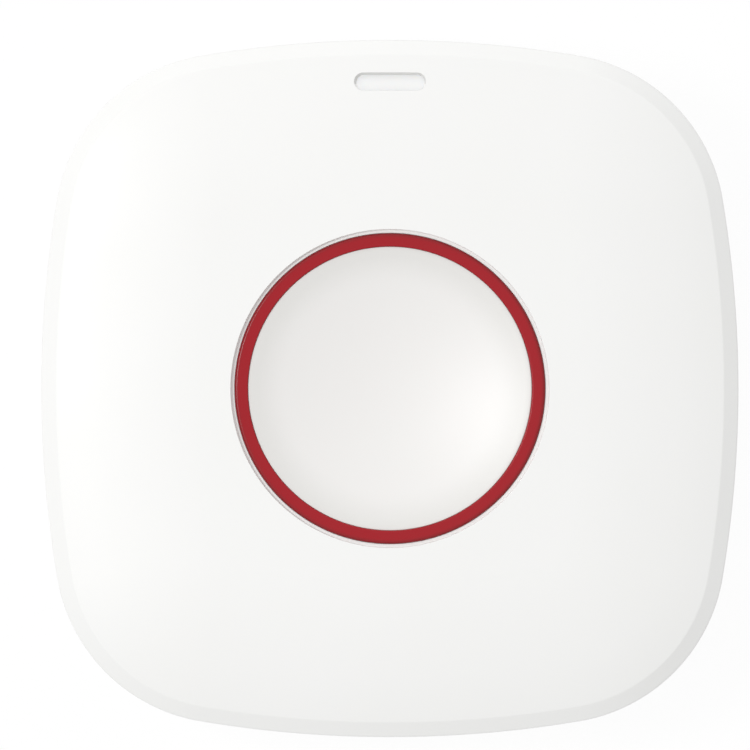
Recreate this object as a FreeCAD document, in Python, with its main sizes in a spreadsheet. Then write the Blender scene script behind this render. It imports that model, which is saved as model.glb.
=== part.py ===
import FreeCAD, Part
import math
import os
import Sketcher

# Wireless panic button: a flat squircle housing with a large sprung push button.
# It lies on its back with the front face up. The origin is the centre of the back face,
# X runs to the right and Y to the upper edge of the face, where the indicator window is.

# Driving dimensions, in millimetres
SIZES = {
    # Outline of the housing: four long side arcs and four corner arcs
    "half_width": 32.0,
    "side_radius": 105.0,
    "corner_radius": 16.0,
    "wall": 1.8,
    # Front face: flat in the middle, then a wide arc, a tighter one and a bevel
    "crown_inset": 15.0,
    "crown_radius": 67.5,
    "shoulder_inset": 5.6,
    "shoulder_radius": 33.0,
    "bevel_width": 1.38,
    "bevel_height": 1.05,
    # Sloped ceiling inside, which follows the crown
    "eave_drop": 1.4,
    "eave_width": 3.9,
    # Clearances
    "fit": 0.15,
    "close_fit": 0.06,
    "running_gap": 0.25,
    "hole_gap": 0.1,
    "stop_gap": 0.1,
    "screw_gap": 0.05,
    "press_margin": 0.05,
    # Height stack from the wall to the front face
    "plate_thickness": 2.0,
    "rear_floor": 1.6,
    "rear_rim": 2.2,
    "cell_clearance": 1.4,
    "holder_base": 1.2,
    "board_thickness": 1.0,
    "switch_height": 2.45,
    "plunger_height": 0.7,
    "cap_thickness": 1.1,
    "dish_depth": 2.1,
    "ring_stand": 0.25,
    "ring_sink": 0.2,
    # Button and its travel
    "travel": 0.8,
    "switch_travel": 0.25,
    "ring_radius": 14.2,
    "ring_width": 1.2,
    "ring_slope": 0.05,
    "ring_edge": 0.12,
    "flange_width": 1.5,
    "flange_thickness": 1.0,
    "ledge_width": 1.1,
    "ledge_thickness": 0.6,
    "cap_lip": 0.15,
    "skirt_wall": 0.95,
    "skirt_drop": 0.9,
    "bead": 0.25,
    "mouth_width": 0.4,
    "mouth_depth": 0.5,
    # Retainer and return springs
    "collar_wall": 1.2,
    "spring_room": 2.2,
    "retainer_thickness": 1.2,
    "retainer_opening": 9.5,
    "ear_thickness": 0.8,
    "ear_margin": 0.8,
    "spring_radius": 1.2,
    "spring_wire": 0.3,
    "spring_turns": 3.0,
    "pocket_depth": 0.6,
    # Screws, their bosses and pillars
    "boss_radius": 2.6,
    "boss_margin": 4.1,
    "boss_sink": 0.3,
    "rib_thickness": 0.9,
    "rib_drop": 1.8,
    "pillar_radius": 3.2,
    "pillar_height": 3.0,
    "housing_screw": 1.1,
    "housing_head": 2.1,
    "housing_head_height": 1.3,
    "housing_reach": 4.5,
    "post_radius": 2.0,
    "post_margin": 5.2,
    "small_screw": 0.8,
    "small_head": 1.7,
    "small_head_height": 0.7,
    "small_reach": 2.6,
    "pilot_spare": 0.3,
    # Indicator window
    "window_inset": 3.88,
    "window_length": 6.6,
    "window_width": 1.7,
    "window_depth": 0.5,
    "window_shallow": 0.12,
    "window_seat": 1.6,
    "window_border": 1.3,
    "pipe_flange": 0.8,
    "pipe_flange_height": 0.8,
    "pipe_gap": 0.2,
    "led_length": 2.6,
    "led_width": 1.2,
    "led_height": 0.6,
    # Rear cover and mounting plate
    "tongue_wall": 1.0,
    "tongue_height": 1.8,
    "seam_chamfer": 0.35,
    "foot_chamfer": 0.5,
    "opening_margin": 0.5,
    "hook_inset": 10.0,
    "hook_width": 4.6,
    "hook_thickness": 1.0,
    "hook_barb": 0.5,
    "hook_tip": 0.9,
    "pry_width": 8.0,
    "pry_height": 0.9,
    "pry_depth": 1.2,
    "wall_screw_reach": 22.0,
    "wall_screw_hole": 2.1,
    "countersink": 1.3,
    # Coin cell, holder and contacts
    "cell_radius": 12.25,
    "cell_height": 5.0,
    "cell_step": 1.6,
    "cell_cap_height": 0.4,
    "cell_edge": 0.3,
    "holder_wall": 1.3,
    "holder_opening": 6.0,
    "lug_thickness": 0.5,
    "lug_reach": 0.3,
    "lug_width": 4.0,
    "finger_notch": 9.0,
    "finger_notch_height": 3.6,
    "contact_thickness": 0.25,
    "contact_width": 4.0,
    "contact_foot": 3.0,
    # Circuit board and the parts on it
    "board_gap": 1.0,
    "relief_shift": 3.0,
    "relief_gap": 0.6,
    "switch_width": 6.0,
    "plunger_radius": 1.7,
    "plunger_depth": 0.6,
    "lead_width": 0.7,
    "lead_length": 0.9,
    "lead_thickness": 0.2,
    "tamper_shift": 4.8,
    "tamper_y": -12.5,
    "tamper_height": 3.4,
    "tamper_radius": 1.5,
    "tamper_post": 0.3,
    "shield_gap": 1.7,
    "shield_y": 9.6,
    "shield_width": 9.6,
    "shield_length": 12.0,
    "shield_height": 1.8,
    "shield_sheet": 0.2,
    "radio_width": 5.0,
    "radio_height": 0.8,
    "controller_gap": 2.8,
    "controller_y": 9.0,
    "controller_width": 6.0,
    "controller_height": 0.85,
    "crystal_drop": 5.8,
    "crystal_length": 3.2,
    "crystal_width": 2.5,
    "crystal_height": 0.8,
    "antenna_start": 7.5,
    "antenna_length": 10.0,
    "antenna_height": 3.0,
    "antenna_strip": 1.0,
    "antenna_sheet": 0.4,
    "chip_gap": 2.5,
    "chip_y": -8.0,
    "chip_pitch": 2.4,
    "chip_length": 1.6,
    "chip_width": 0.8,
}

CORNERS = 4
SPRINGS = 3
CHIPS_PER_ROW = 3
CHIP_ROWS = 2

Vector = FreeCAD.Vector

# Slack for finding edges and faces by their height, and for cuts that run past a face
TOUCH = 1e-4
PAST = 1.0

document = FreeCAD.newDocument("panic_button")
sheet = document.addObject("Spreadsheet::Sheet", "sizes")


class Size:
    """A length: its number, and the same length as an expression of the sheet's cells."""

    def __init__(self, text, value):
        self.text = text
        self.value = value

    def __add__(self, other):
        return combined(self, "+", other)

    def __radd__(self, other):
        return combined(other, "+", self)

    def __sub__(self, other):
        return combined(self, "-", other)

    def __rsub__(self, other):
        return combined(other, "-", self)

    def __mul__(self, other):
        return combined(self, "*", other)

    def __rmul__(self, other):
        return combined(other, "*", self)

    def __truediv__(self, other):
        return combined(self, "/", other)

    def __neg__(self):
        return combined(0.0, "-", self)


def as_size(number):
    """A plain number as a size, and a size as it is."""
    if isinstance(number, Size):
        return number
    return Size(repr(float(number)), float(number))


def combined(left, sign, right):
    """Two sizes joined by an arithmetic sign."""
    left = as_size(left)
    right = as_size(right)
    results = {
        "+": left.value + right.value,
        "-": left.value - right.value,
        "*": left.value * right.value,
    }
    if sign == "/":
        results["/"] = left.value / right.value
    return Size("(%s %s %s)" % (left.text, sign, right.text), results[sign])


def root(size):
    """The square root of a size."""
    return Size("sqrt(%s)" % size.text, math.sqrt(size.value))


class Cells:
    """Gives each cell of the sheet by its alias."""

    def __getattr__(self, alias):
        return Size("sizes." + alias, SIZES[alias])


for row, (alias, number) in enumerate(SIZES.items(), 1):
    sheet.set("A%d" % row, alias)
    sheet.set("B%d" % row, str(number))
    sheet.setAlias("B%d" % row, alias)
document.recompute()
size = Cells()

# Heights from the wall to the front face, each from the one below it
rear_bottom = size.plate_thickness
rear_floor_top = rear_bottom + size.rear_floor
split = rear_bottom + size.rear_rim
boss_bottom = rear_floor_top + size.pillar_height
cell_bottom = rear_bottom + size.cell_clearance
cell_top = cell_bottom + size.cell_height
board_bottom = cell_top + size.holder_base
board_top = board_bottom + size.board_thickness
switch_top = board_top + size.switch_height
plunger_top = switch_top + size.plunger_height
free_play = size.travel - size.switch_travel + size.press_margin
dish_under = plunger_top + free_play
dish_bottom = dish_under + size.cap_thickness
cap_rim = dish_bottom + size.dish_depth
ring_top = cap_rim + size.ring_stand
cover_top = ring_top + size.ring_sink
ceiling = cover_top - size.wall
boss_top = ceiling + size.boss_sink
flange_top = ceiling - size.stop_gap
flange_bottom = flange_top - size.flange_thickness
ledge_top = flange_bottom + size.ledge_thickness
skirt_bottom = flange_bottom - size.skirt_drop
retainer_top = flange_bottom - size.spring_room
retainer_bottom = retainer_top - size.retainer_thickness
ear_bottom = retainer_top - size.ear_thickness
pocket_floor = retainer_top - size.pocket_depth

# Radii of the button, from the ring outwards and inwards
hole_radius = size.ring_radius + size.hole_gap
flange_radius = size.ring_radius + size.flange_width
collar_inner = flange_radius + size.running_gap
collar_outer = collar_inner + size.collar_wall
ring_inner = size.ring_radius - size.ring_width
ledge_inner = ring_inner - size.ledge_width
cap_radius = ring_inner - size.close_fit
skirt_outer = ledge_inner - size.close_fit
skirt_inner = skirt_outer - size.skirt_wall
spring_reach = (ledge_inner + flange_radius) / 2
ear_radius = size.post_radius + size.ear_margin / 2
ear_reach = collar_outer + size.post_radius + size.ear_margin

# Centre of a corner arc of the outline, the same for every inset
side_back = size.side_radius - size.half_width
arc_step = size.side_radius - size.corner_radius
corner_centre = (root(2 * arc_step * arc_step - side_back * side_back) - side_back) / 2

# Places of the screws
boss_place = corner_centre + (size.corner_radius - size.wall - size.boss_margin) / math.sqrt(2)
post_reach = size.half_width - size.wall - size.post_margin
housing_hole = size.housing_screw + size.screw_gap
small_hole = size.small_screw + size.screw_gap

# Crown of the face along a line from the middle to the edge
crown_start = size.half_width - size.crown_inset
crown_centre = cover_top - size.crown_radius
crown_knee = size.half_width - size.shoulder_inset
crown_edge = size.half_width - size.bevel_width
knee_sine = (crown_knee - crown_start) / size.crown_radius
knee_cosine = root(1 - knee_sine * knee_sine)
arc_difference = size.crown_radius - size.shoulder_radius
shoulder_centre_x = crown_start + arc_difference * knee_sine
shoulder_centre_z = crown_centre + arc_difference * knee_cosine


def shoulder_height(distance):
    """Height of the face on the shoulder arc, at a distance from the middle."""
    across = distance - shoulder_centre_x
    return shoulder_centre_z + root(size.shoulder_radius * size.shoulder_radius - across * across)


knee_height = crown_centre + size.crown_radius * knee_cosine
edge_height = shoulder_height(crown_edge)
wall_top = edge_height - size.bevel_height

# Indicator window and the board's outline
window_y = size.half_width - size.window_inset
window_lower = window_y - size.window_width / 2
window_upper = window_y + size.window_width / 2
lower_floor = shoulder_height(window_lower) - size.window_shallow
upper_floor = shoulder_height(window_upper) - size.window_depth
window_seat = ceiling - size.window_seat
led_top = board_top + size.led_height
board_inset = size.wall + size.board_gap
holder_inner = size.cell_radius + size.fit
holder_outer = holder_inner + size.holder_wall
holder_bottom = cell_bottom - size.lug_thickness
battery_opening = holder_outer + size.opening_margin
tamper_bottom = board_bottom - size.tamper_height
post_top = rear_bottom + size.tamper_post
hook_reach = size.half_width - size.hook_inset

# Columns of parts on the board, outwards from the battery holder
tamper_x = -holder_outer - size.tamper_shift
shield_x = holder_outer + size.shield_gap + size.shield_width / 2
controller_x = -holder_outer - size.controller_gap - size.controller_width / 2
chip_x = holder_outer + size.chip_gap + size.chip_length / 2


def bind(item, name, length):
    """Ties a property of an object to the sheet."""
    item.setExpression(name, as_size(length).text)


def new_body(label):
    """A body with its label and a place of its own."""
    body = document.addObject("PartDesign::Body", label)
    body.Label = label
    body.AllowCompound = True
    body.Placement = FreeCAD.Placement()
    return body


def sketch_on(body, name, plane="XY_Plane", height=None):
    """A sketch on one of the body's own origin planes, moved along its normal."""
    sketch = body.newObject("Sketcher::SketchObject", body.Name + "_" + name)
    planes = [item for item in body.Origin.OriginFeatures if item.Role == plane]
    sketch.AttachmentSupport = [(planes[0], "")]
    sketch.MapMode = "FlatFace"
    if height is not None:
        bind(sketch, "AttachmentOffset.Base.z", height)
    return sketch


def constrain(sketch, kind, *references):
    """A sketch dimension tied to the sheet: the last reference is its size."""
    length = as_size(references[-1])
    constraint = Sketcher.Constraint(kind, *references[:-1], length.value)
    number = sketch.addConstraint(constraint)
    bind(sketch, "Constraints[%d]" % number, length)


def fix_point(sketch, edge, end, x, y):
    """Holds one point of an edge at a place in the sketch."""
    constrain(sketch, "DistanceX", -1, 1, edge, end, x)
    constrain(sketch, "DistanceY", -1, 1, edge, end, y)


def add_arc(sketch, x, y, radius, start, finish):
    """An arc about a centre between two angles in radians."""
    circle = Part.Circle(Vector(x, y, 0), Vector(0, 0, 1), radius)
    return sketch.addGeometry(Part.ArcOfCircle(circle, start, finish), False)


def draw_circle(sketch, x, y, radius):
    """A circle about a point."""
    x = as_size(x)
    y = as_size(y)
    radius = as_size(radius)
    circle = Part.Circle(Vector(x.value, y.value, 0), Vector(0, 0, 1), radius.value)
    edge = sketch.addGeometry(circle, False)
    fix_point(sketch, edge, 3, x, y)
    constrain(sketch, "Radius", edge, radius)


def arc_between(start, finish, radius):
    """Centre and angles of the short arc between two points, left-turning if radius > 0."""
    middle = (start + finish) / 2
    chord = finish - start
    rise = math.sqrt(radius * radius - chord.Length ** 2 / 4)
    side = Vector(-chord.y, chord.x, 0).normalize() * math.copysign(rise, radius)
    centre = middle + side
    angles = [math.atan2(point.y - centre.y, point.x - centre.x) for point in (start, finish)]
    if radius < 0:
        angles.reverse()
    if angles[1] < angles[0]:
        angles[1] += 2 * math.pi
    return centre, angles


def draw_profile(sketch, points):
    """A closed profile. A third value of a point makes the stretch that ends there an arc,
    turning left where it is positive and right where it is negative."""
    points = [tuple(as_size(value) for value in point) for point in points]
    places = [Vector(point[0].value, point[1].value, 0) for point in points]
    ends = []
    for number in range(len(points)):
        point = points[number]
        start = places[number - 1]
        finish = places[number]
        if len(point) == 2:
            edge = sketch.addGeometry(Part.LineSegment(start, finish), False)
            ends.append((edge, 1, 2))
            continue
        centre, angles = arc_between(start, finish, point[2].value)
        edge = add_arc(sketch, centre.x, centre.y, abs(point[2].value), angles[0], angles[1])
        if point[2].value > 0:
            constrain(sketch, "Radius", edge, point[2])
            ends.append((edge, 1, 2))
        else:
            constrain(sketch, "Radius", edge, -point[2])
            ends.append((edge, 2, 1))
    for number, (edge, first, last) in enumerate(ends):
        following = ends[(number + 1) % len(ends)]
        joined = Sketcher.Constraint("Coincident", edge, last, following[0], following[1])
        sketch.addConstraint(joined)
        fix_point(sketch, edge, last, points[number][0], points[number][1])


def draw_rectangle(sketch, x, y, width, height):
    """A rectangle about a centre."""
    left = x - width / 2
    low = y - height / 2
    draw_profile(sketch, [
        (left, low),
        (left + width, low),
        (left + width, low + height),
        (left, low + height),
    ])


def draw_slot(sketch, x, y, length, width):
    """A slot with round ends about a centre, along X."""
    half = (length - width) / 2
    radius = width / 2
    top = y + radius
    bottom = y - radius
    right = [(x + half, bottom), (x + half + radius, y, radius), (x + half, top, radius)]
    left = [(x - half, top), (x - half - radius, y, radius), (x - half, bottom, radius)]
    draw_profile(sketch, right + left)


def draw_outline(sketch, inset):
    """The squircle outline, moved inwards by an inset."""
    side = size.side_radius - inset
    corner = size.corner_radius - inset
    turn = math.atan2(corner_centre.value, corner_centre.value + side_back.value)
    diagonal = corner_centre.value * math.sqrt(2)
    arcs = []
    for number in range(CORNERS):
        along = number * math.pi / 2
        across = along + math.pi / 4
        x = side_back * -round(math.cos(along))
        y = side_back * -round(math.sin(along))
        edge = add_arc(sketch, x.value, y.value, side.value, along - turn, along + turn)
        fix_point(sketch, edge, 3, x, y)
        constrain(sketch, "Radius", edge, side)
        arcs.append(edge)
        x = diagonal * math.cos(across)
        y = diagonal * math.sin(across)
        finish = along + math.pi / 2 - turn
        edge = add_arc(sketch, x, y, corner.value, along + turn, finish)
        constrain(sketch, "Radius", edge, corner)
        arcs.append(edge)
    for number, edge in enumerate(arcs):
        following = arcs[(number + 1) % len(arcs)]
        sketch.addConstraint(Sketcher.Constraint("Tangent", edge, 2, following, 1))


def pad(body, sketch, length):
    """Material raised from a sketch."""
    feature = body.newObject("PartDesign::Pad", sketch.Name + "_pad")
    feature.Profile = sketch
    bind(feature, "Length", length)
    sketch.Visibility = False
    return feature


def pocket(body, sketch, depth, upward=False):
    """A cut from a sketch, downwards unless it is said otherwise."""
    feature = body.newObject("PartDesign::Pocket", sketch.Name + "_cut")
    feature.Profile = sketch
    feature.Reversed = upward
    bind(feature, "Length", depth)
    return feature


def revolve(body, sketch, kind="Revolution"):
    """A turned piece or a turned cut: the sketch goes once round its own upright axis."""
    feature = body.newObject("PartDesign::" + kind, sketch.Name + "_turned")
    feature.Profile = sketch
    feature.ReferenceAxis = (sketch, ["V_Axis"])
    feature.Angle = 360
    return feature


def polar(body, features, count):
    """Copies of features evenly round the body's Z axis."""
    pattern = body.newObject("PartDesign::PolarPattern", features[0].Name + "_round")
    pattern.Originals = features
    axes = [item for item in body.Origin.OriginFeatures if item.Role == "Z_Axis"]
    pattern.Axis = (axes[0], [""])
    pattern.Angle = 360
    pattern.Occurrences = count
    body.Tip = pattern
    return pattern


def hang_on_its_side(body, feature, height):
    """Sets a round primitive over the origin with its axis level, clear of its poles."""
    planes = [item for item in body.Origin.OriginFeatures if item.Role == "XY_Plane"]
    feature.AttachmentSupport = [(planes[0], "")]
    feature.MapMode = "FlatFace"
    level = FreeCAD.Rotation(Vector(0, 1, 0), 90)
    feature.AttachmentOffset = FreeCAD.Placement(Vector(0, 0, 0), level)
    bind(feature, "AttachmentOffset.Base.z", height)


def level_edges(feature, height, radius=None):
    """Names of the edges that lie level at a height, all or those of one radius."""
    names = []
    for number, edge in enumerate(feature.Shape.Edges, 1):
        box = edge.BoundBox
        level = abs(box.ZMin - height.value) < TOUCH and abs(box.ZMax - height.value) < TOUCH
        if radius is not None and level:
            round_edge = isinstance(edge.Curve, Part.Circle)
            level = round_edge and abs(edge.Curve.Radius - radius.value) < TOUCH
        if level:
            names.append("Edge%d" % number)
    return names


def chamfer(body, base, edges, width):
    """Bevelled edges."""
    feature = body.newObject("PartDesign::Chamfer", base.Name + "_bevelled")
    feature.Base = (base, edges)
    bind(feature, "Size", width)
    return feature


def crowned_face(body):
    """Cuts the crown, the shoulder and the bevel by one profile led round the outline."""
    outside = size.half_width + PAST
    above = cover_top + PAST
    profile = sketch_on(body, "crown", "XZ_Plane")
    draw_profile(profile, [
        (crown_start, cover_top),
        (crown_knee, knee_height, -size.crown_radius),
        (crown_edge, edge_height, -size.shoulder_radius),
        (size.half_width, wall_top),
        (outside, wall_top),
        (outside, above),
        (crown_start, above),
    ])
    path = sketch_on(body, "crown_path", height=cover_top)
    draw_outline(path, 0)
    sweep = body.newObject("PartDesign::SubtractivePipe", "crown_sweep")
    sweep.Profile = profile
    sweep.Spine = (path, [])
    return sweep


def front_cover():
    """Crowned shell with the button's hole and guide collar, bosses and the window."""
    body = new_body("front_cover")
    block = sketch_on(body, "outline", height=split)
    draw_outline(block, 0)
    pad(body, block, cover_top - split)
    crowned_face(body)
    cavity = sketch_on(body, "cavity", height=split)
    draw_outline(cavity, size.wall)
    hollow = pocket(body, cavity, ceiling - split, upward=True)
    document.recompute()
    eaves = chamfer(body, hollow, level_edges(hollow, ceiling), size.eave_drop)
    eaves.ChamferType = "Two distances"
    bind(eaves, "Size2", size.eave_width)

    collar = sketch_on(body, "collar", height=retainer_top)
    draw_circle(collar, 0, 0, collar_outer)
    draw_circle(collar, 0, 0, collar_inner)
    pad(body, collar, boss_top - retainer_top)

    boss = sketch_on(body, "boss", height=boss_bottom)
    draw_circle(boss, boss_place, boss_place, size.boss_radius)
    boss_pad = pad(body, boss, boss_top - boss_bottom)
    pilot = sketch_on(body, "boss_pilot", height=boss_bottom)
    draw_circle(pilot, boss_place, boss_place, housing_hole)
    pilot_cut = pocket(body, pilot, size.housing_reach + size.pilot_spare, upward=True)
    rib = sketch_on(body, "boss_rib", height=ceiling - size.rib_drop)
    near = (collar_inner + collar_outer) / (2 * math.sqrt(2))
    far = boss_place - size.boss_radius / 2
    side = size.rib_thickness / (2 * math.sqrt(2))
    draw_profile(rib, [
        (near + side, near - side),
        (far + side, far - side),
        (far - side, far + side),
        (near - side, near + side),
    ])
    rib_pad = pad(body, rib, boss_top - ceiling + size.rib_drop)
    polar(body, [boss_pad, pilot_cut, rib_pad], CORNERS)

    ear_boss = sketch_on(body, "ear_boss", height=retainer_top)
    draw_circle(ear_boss, 0, ear_reach, size.post_radius)
    ear_pad = pad(body, ear_boss, boss_top - retainer_top)
    ear_pilot = sketch_on(body, "ear_pilot", height=retainer_top)
    draw_circle(ear_pilot, 0, ear_reach, small_hole)
    ear_cut = pocket(body, ear_pilot, size.small_reach + size.pilot_spare, upward=True)
    polar(body, [ear_pad, ear_cut], SPRINGS)

    posts = sketch_on(body, "posts", height=board_top)
    pilots = sketch_on(body, "post_pilots", height=board_top)
    for x, y in board_posts():
        draw_circle(posts, x, y, size.post_radius)
        draw_circle(pilots, x, y, small_hole)
    pad(body, posts, boss_top - board_top)
    pocket(body, pilots, size.small_reach + size.pilot_spare, upward=True)

    border = 2 * size.window_border
    block = sketch_on(body, "window_block", height=window_seat)
    length = size.window_length + border
    draw_slot(block, 0, window_y, length, size.window_width + border)
    pad(body, block, ceiling - window_seat)
    window = sketch_on(body, "window", height=window_seat)
    draw_slot(window, 0, window_y, size.window_length, size.window_width)
    pocket(body, window, cover_top - window_seat, upward=True)

    hole = sketch_on(body, "hole", "XZ_Plane")
    draw_profile(hole, [
        (0, ceiling - PAST),
        (hole_radius, ceiling - PAST),
        (hole_radius, cover_top - size.mouth_depth),
        (hole_radius + size.mouth_width, cover_top),
        (hole_radius + size.mouth_width, cover_top + PAST),
        (0, cover_top + PAST),
    ])
    revolve(body, hole, "Groove")
    return body


def board_posts():
    """Places of the three posts that the circuit board is screwed to."""
    return [(post_reach, 0), (-post_reach, 0), (0, -post_reach)]


def rear_cover():
    """Floor, rim and tongue that close the front cover, with screw pillars."""
    body = new_body("rear_cover")
    inside = size.wall + size.fit
    base = sketch_on(body, "outline", height=rear_bottom)
    draw_outline(base, 0)
    slab = pad(body, base, size.rear_rim)
    document.recompute()
    edges = level_edges(slab, rear_bottom) + level_edges(slab, split)
    chamfer(body, slab, edges, size.seam_chamfer)
    tray = sketch_on(body, "tray", height=split)
    draw_outline(tray, inside + size.tongue_wall)
    pocket(body, tray, split - rear_floor_top)
    tongue = sketch_on(body, "tongue", height=split)
    draw_outline(tongue, inside)
    draw_outline(tongue, inside + size.tongue_wall)
    pad(body, tongue, size.tongue_height)

    opening = sketch_on(body, "battery_opening", height=rear_floor_top)
    draw_circle(opening, 0, 0, battery_opening)
    pocket(body, opening, size.rear_floor)

    pillar = sketch_on(body, "pillar", height=rear_floor_top)
    draw_circle(pillar, boss_place, boss_place, size.pillar_radius)
    pillar_pad = pad(body, pillar, size.pillar_height)
    through = sketch_on(body, "pillar_hole", height=rear_bottom)
    draw_circle(through, boss_place, boss_place, housing_hole + size.fit)
    through_cut = pocket(body, through, boss_bottom - rear_bottom, upward=True)
    recess = sketch_on(body, "head_recess", height=rear_bottom)
    draw_circle(recess, boss_place, boss_place, size.housing_head + size.fit)
    recess_cut = pocket(body, recess, size.housing_head_height + size.fit, upward=True)
    polar(body, [pillar_pad, through_cut, recess_cut], CORNERS)

    slots = sketch_on(body, "hook_slots", height=rear_floor_top)
    slot_width = size.hook_width + 2 * size.fit
    slot_height = size.hook_thickness + size.hook_barb + 2 * size.fit
    for side in (1, -1):
        centre = side * (hook_reach + size.hook_barb / 2)
        draw_rectangle(slots, as_size(0), centre, slot_width, slot_height)
    pocket(body, slots, size.rear_floor)

    tamper = sketch_on(body, "tamper_hole", height=rear_floor_top)
    draw_circle(tamper, tamper_x, size.tamper_y, size.tamper_radius + size.running_gap)
    pocket(body, tamper, size.rear_floor)

    notch = sketch_on(body, "pry_notch", height=rear_bottom)
    middle = -size.half_width
    draw_rectangle(notch, as_size(0), middle, size.pry_width, 2 * size.pry_depth)
    pocket(body, notch, size.pry_height, upward=True)
    return body


def mounting_plate():
    """Wall plate with two screw holes, two snap hooks and the tamper post."""
    body = new_body("mounting_plate")
    outline = sketch_on(body, "outline")
    draw_outline(outline, 0)
    slab = pad(body, outline, size.plate_thickness)
    document.recompute()
    foot = chamfer(body, slab, level_edges(slab, as_size(0)), size.foot_chamfer)
    document.recompute()
    seam = chamfer(body, foot, level_edges(foot, rear_bottom), size.seam_chamfer)

    holes = sketch_on(body, "wall_screws", height=rear_bottom)
    for side in (1, -1):
        draw_circle(holes, side * size.wall_screw_reach, 0, size.wall_screw_hole)
    cut = pocket(body, holes, size.plate_thickness)
    document.recompute()
    edges = level_edges(cut, rear_bottom, size.wall_screw_hole)
    chamfer(body, cut, edges, size.countersink)

    half = size.hook_thickness / 2
    barb_bottom = rear_floor_top + size.close_fit
    for side, name in ((1, "upper_hook"), (-1, "lower_hook")):
        hook = sketch_on(body, name, "YZ_Plane", -size.hook_width / 2)
        inner = side * (hook_reach - half)
        outer = side * (hook_reach + half)
        tip = side * (hook_reach + half + size.hook_barb)
        draw_profile(hook, [
            (inner, rear_bottom),
            (outer, rear_bottom),
            (outer, barb_bottom),
            (tip, barb_bottom),
            (outer, barb_bottom + size.hook_tip),
            (inner, barb_bottom + size.hook_tip),
        ])
        pad(body, hook, size.hook_width)

    post = sketch_on(body, "tamper_post", height=rear_bottom)
    draw_circle(post, tamper_x, size.tamper_y, size.tamper_radius)
    pad(body, post, size.tamper_post)
    return body


def button_ring():
    """Coloured ring that carries the cap, with its flange under the front cover."""
    body = new_body("button_ring")
    section = sketch_on(body, "section", "XZ_Plane")
    draw_profile(section, [
        (ledge_inner, flange_bottom),
        (flange_radius, flange_bottom),
        (flange_radius, flange_top),
        (size.ring_radius, flange_top),
        (size.ring_radius, ring_top),
        (ring_inner, ring_top - size.ring_slope),
        (ring_inner, ledge_top),
        (ledge_inner, ledge_top),
    ])
    turned = revolve(body, section)
    document.recompute()
    outer_edge = level_edges(turned, ring_top, size.ring_radius)
    inner_edge = level_edges(turned, ring_top - size.ring_slope, ring_inner)
    chamfer(body, turned, outer_edge + inner_edge, size.ring_edge)
    return body


def button_cap():
    """Dished cap with a skirt that snaps under the ring's ledge."""
    body = new_body("button_cap")
    bead_radius = skirt_outer + size.bead
    bead_top = flange_bottom - size.close_fit
    section = sketch_on(body, "section", "XZ_Plane")
    draw_profile(section, [
        (0, dish_under),
        (skirt_inner, dish_under),
        (skirt_inner, skirt_bottom),
        (skirt_outer, skirt_bottom),
        (bead_radius, skirt_bottom + size.bead),
        (skirt_outer, bead_top),
        (skirt_outer, ledge_top),
        (cap_radius, ledge_top),
        (cap_radius, cap_rim),
        (0, cap_rim),
    ])
    revolve(body, section)
    dished_radius = cap_radius - size.cap_lip
    dish_radius = (dished_radius * dished_radius / size.dish_depth + size.dish_depth) / 2
    dish = body.newObject("PartDesign::SubtractiveSphere", "button_cap_dish")
    bind(dish, "Radius", dish_radius)
    hang_on_its_side(body, dish, dish_bottom + dish_radius)
    return body


def button_retainer():
    """Ring under the button that seats its springs, screwed up by three ears."""
    body = new_body("button_retainer")
    disc = sketch_on(body, "disc", height=retainer_bottom)
    draw_circle(disc, 0, 0, collar_outer)
    draw_circle(disc, 0, 0, size.retainer_opening)
    pad(body, disc, size.retainer_thickness)
    ear = sketch_on(body, "ear", height=ear_bottom)
    ear_root = collar_inner - size.collar_wall
    draw_profile(ear, [
        (ear_radius, ear_root),
        (ear_radius, ear_reach),
        (0, ear_reach + ear_radius, ear_radius),
        (-ear_radius, ear_reach, ear_radius),
        (-ear_radius, ear_root),
    ])
    ear_pad = pad(body, ear, size.ear_thickness)
    hole = sketch_on(body, "ear_hole", height=ear_bottom)
    draw_circle(hole, 0, ear_reach, small_hole + size.fit)
    hole_cut = pocket(body, hole, size.ear_thickness, upward=True)
    seat = sketch_on(body, "spring_seat", height=retainer_top)
    seat_radius = size.spring_radius + size.spring_wire / 2 + size.fit
    draw_circle(seat, 0, -spring_reach, seat_radius)
    seat_cut = pocket(body, seat, size.pocket_depth)
    polar(body, [ear_pad, hole_cut, seat_cut], SPRINGS)
    return body


def return_spring(number):
    """One of the coil springs that lift the button."""
    body = new_body("return_spring_%d" % (number + 1))
    wire = sketch_on(body, "wire", "XZ_Plane")
    bottom = pocket_floor + size.spring_wire / 2
    draw_rectangle(wire, size.spring_radius, bottom, size.spring_wire, size.spring_wire)
    coil = body.newObject("PartDesign::AdditiveHelix", body.Name + "_coil")
    coil.Profile = wire
    coil.ReferenceAxis = (wire, ["V_Axis"])
    coil.Mode = 2
    bind(coil, "Height", flange_bottom - pocket_floor - size.spring_wire)
    bind(coil, "Turns", size.spring_turns)
    angle = -math.pi / 2 + number * 2 * math.pi / SPRINGS
    bind(body, "Placement.Base.x", spring_reach * math.cos(angle))
    bind(body, "Placement.Base.y", spring_reach * math.sin(angle))
    return body


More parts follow.
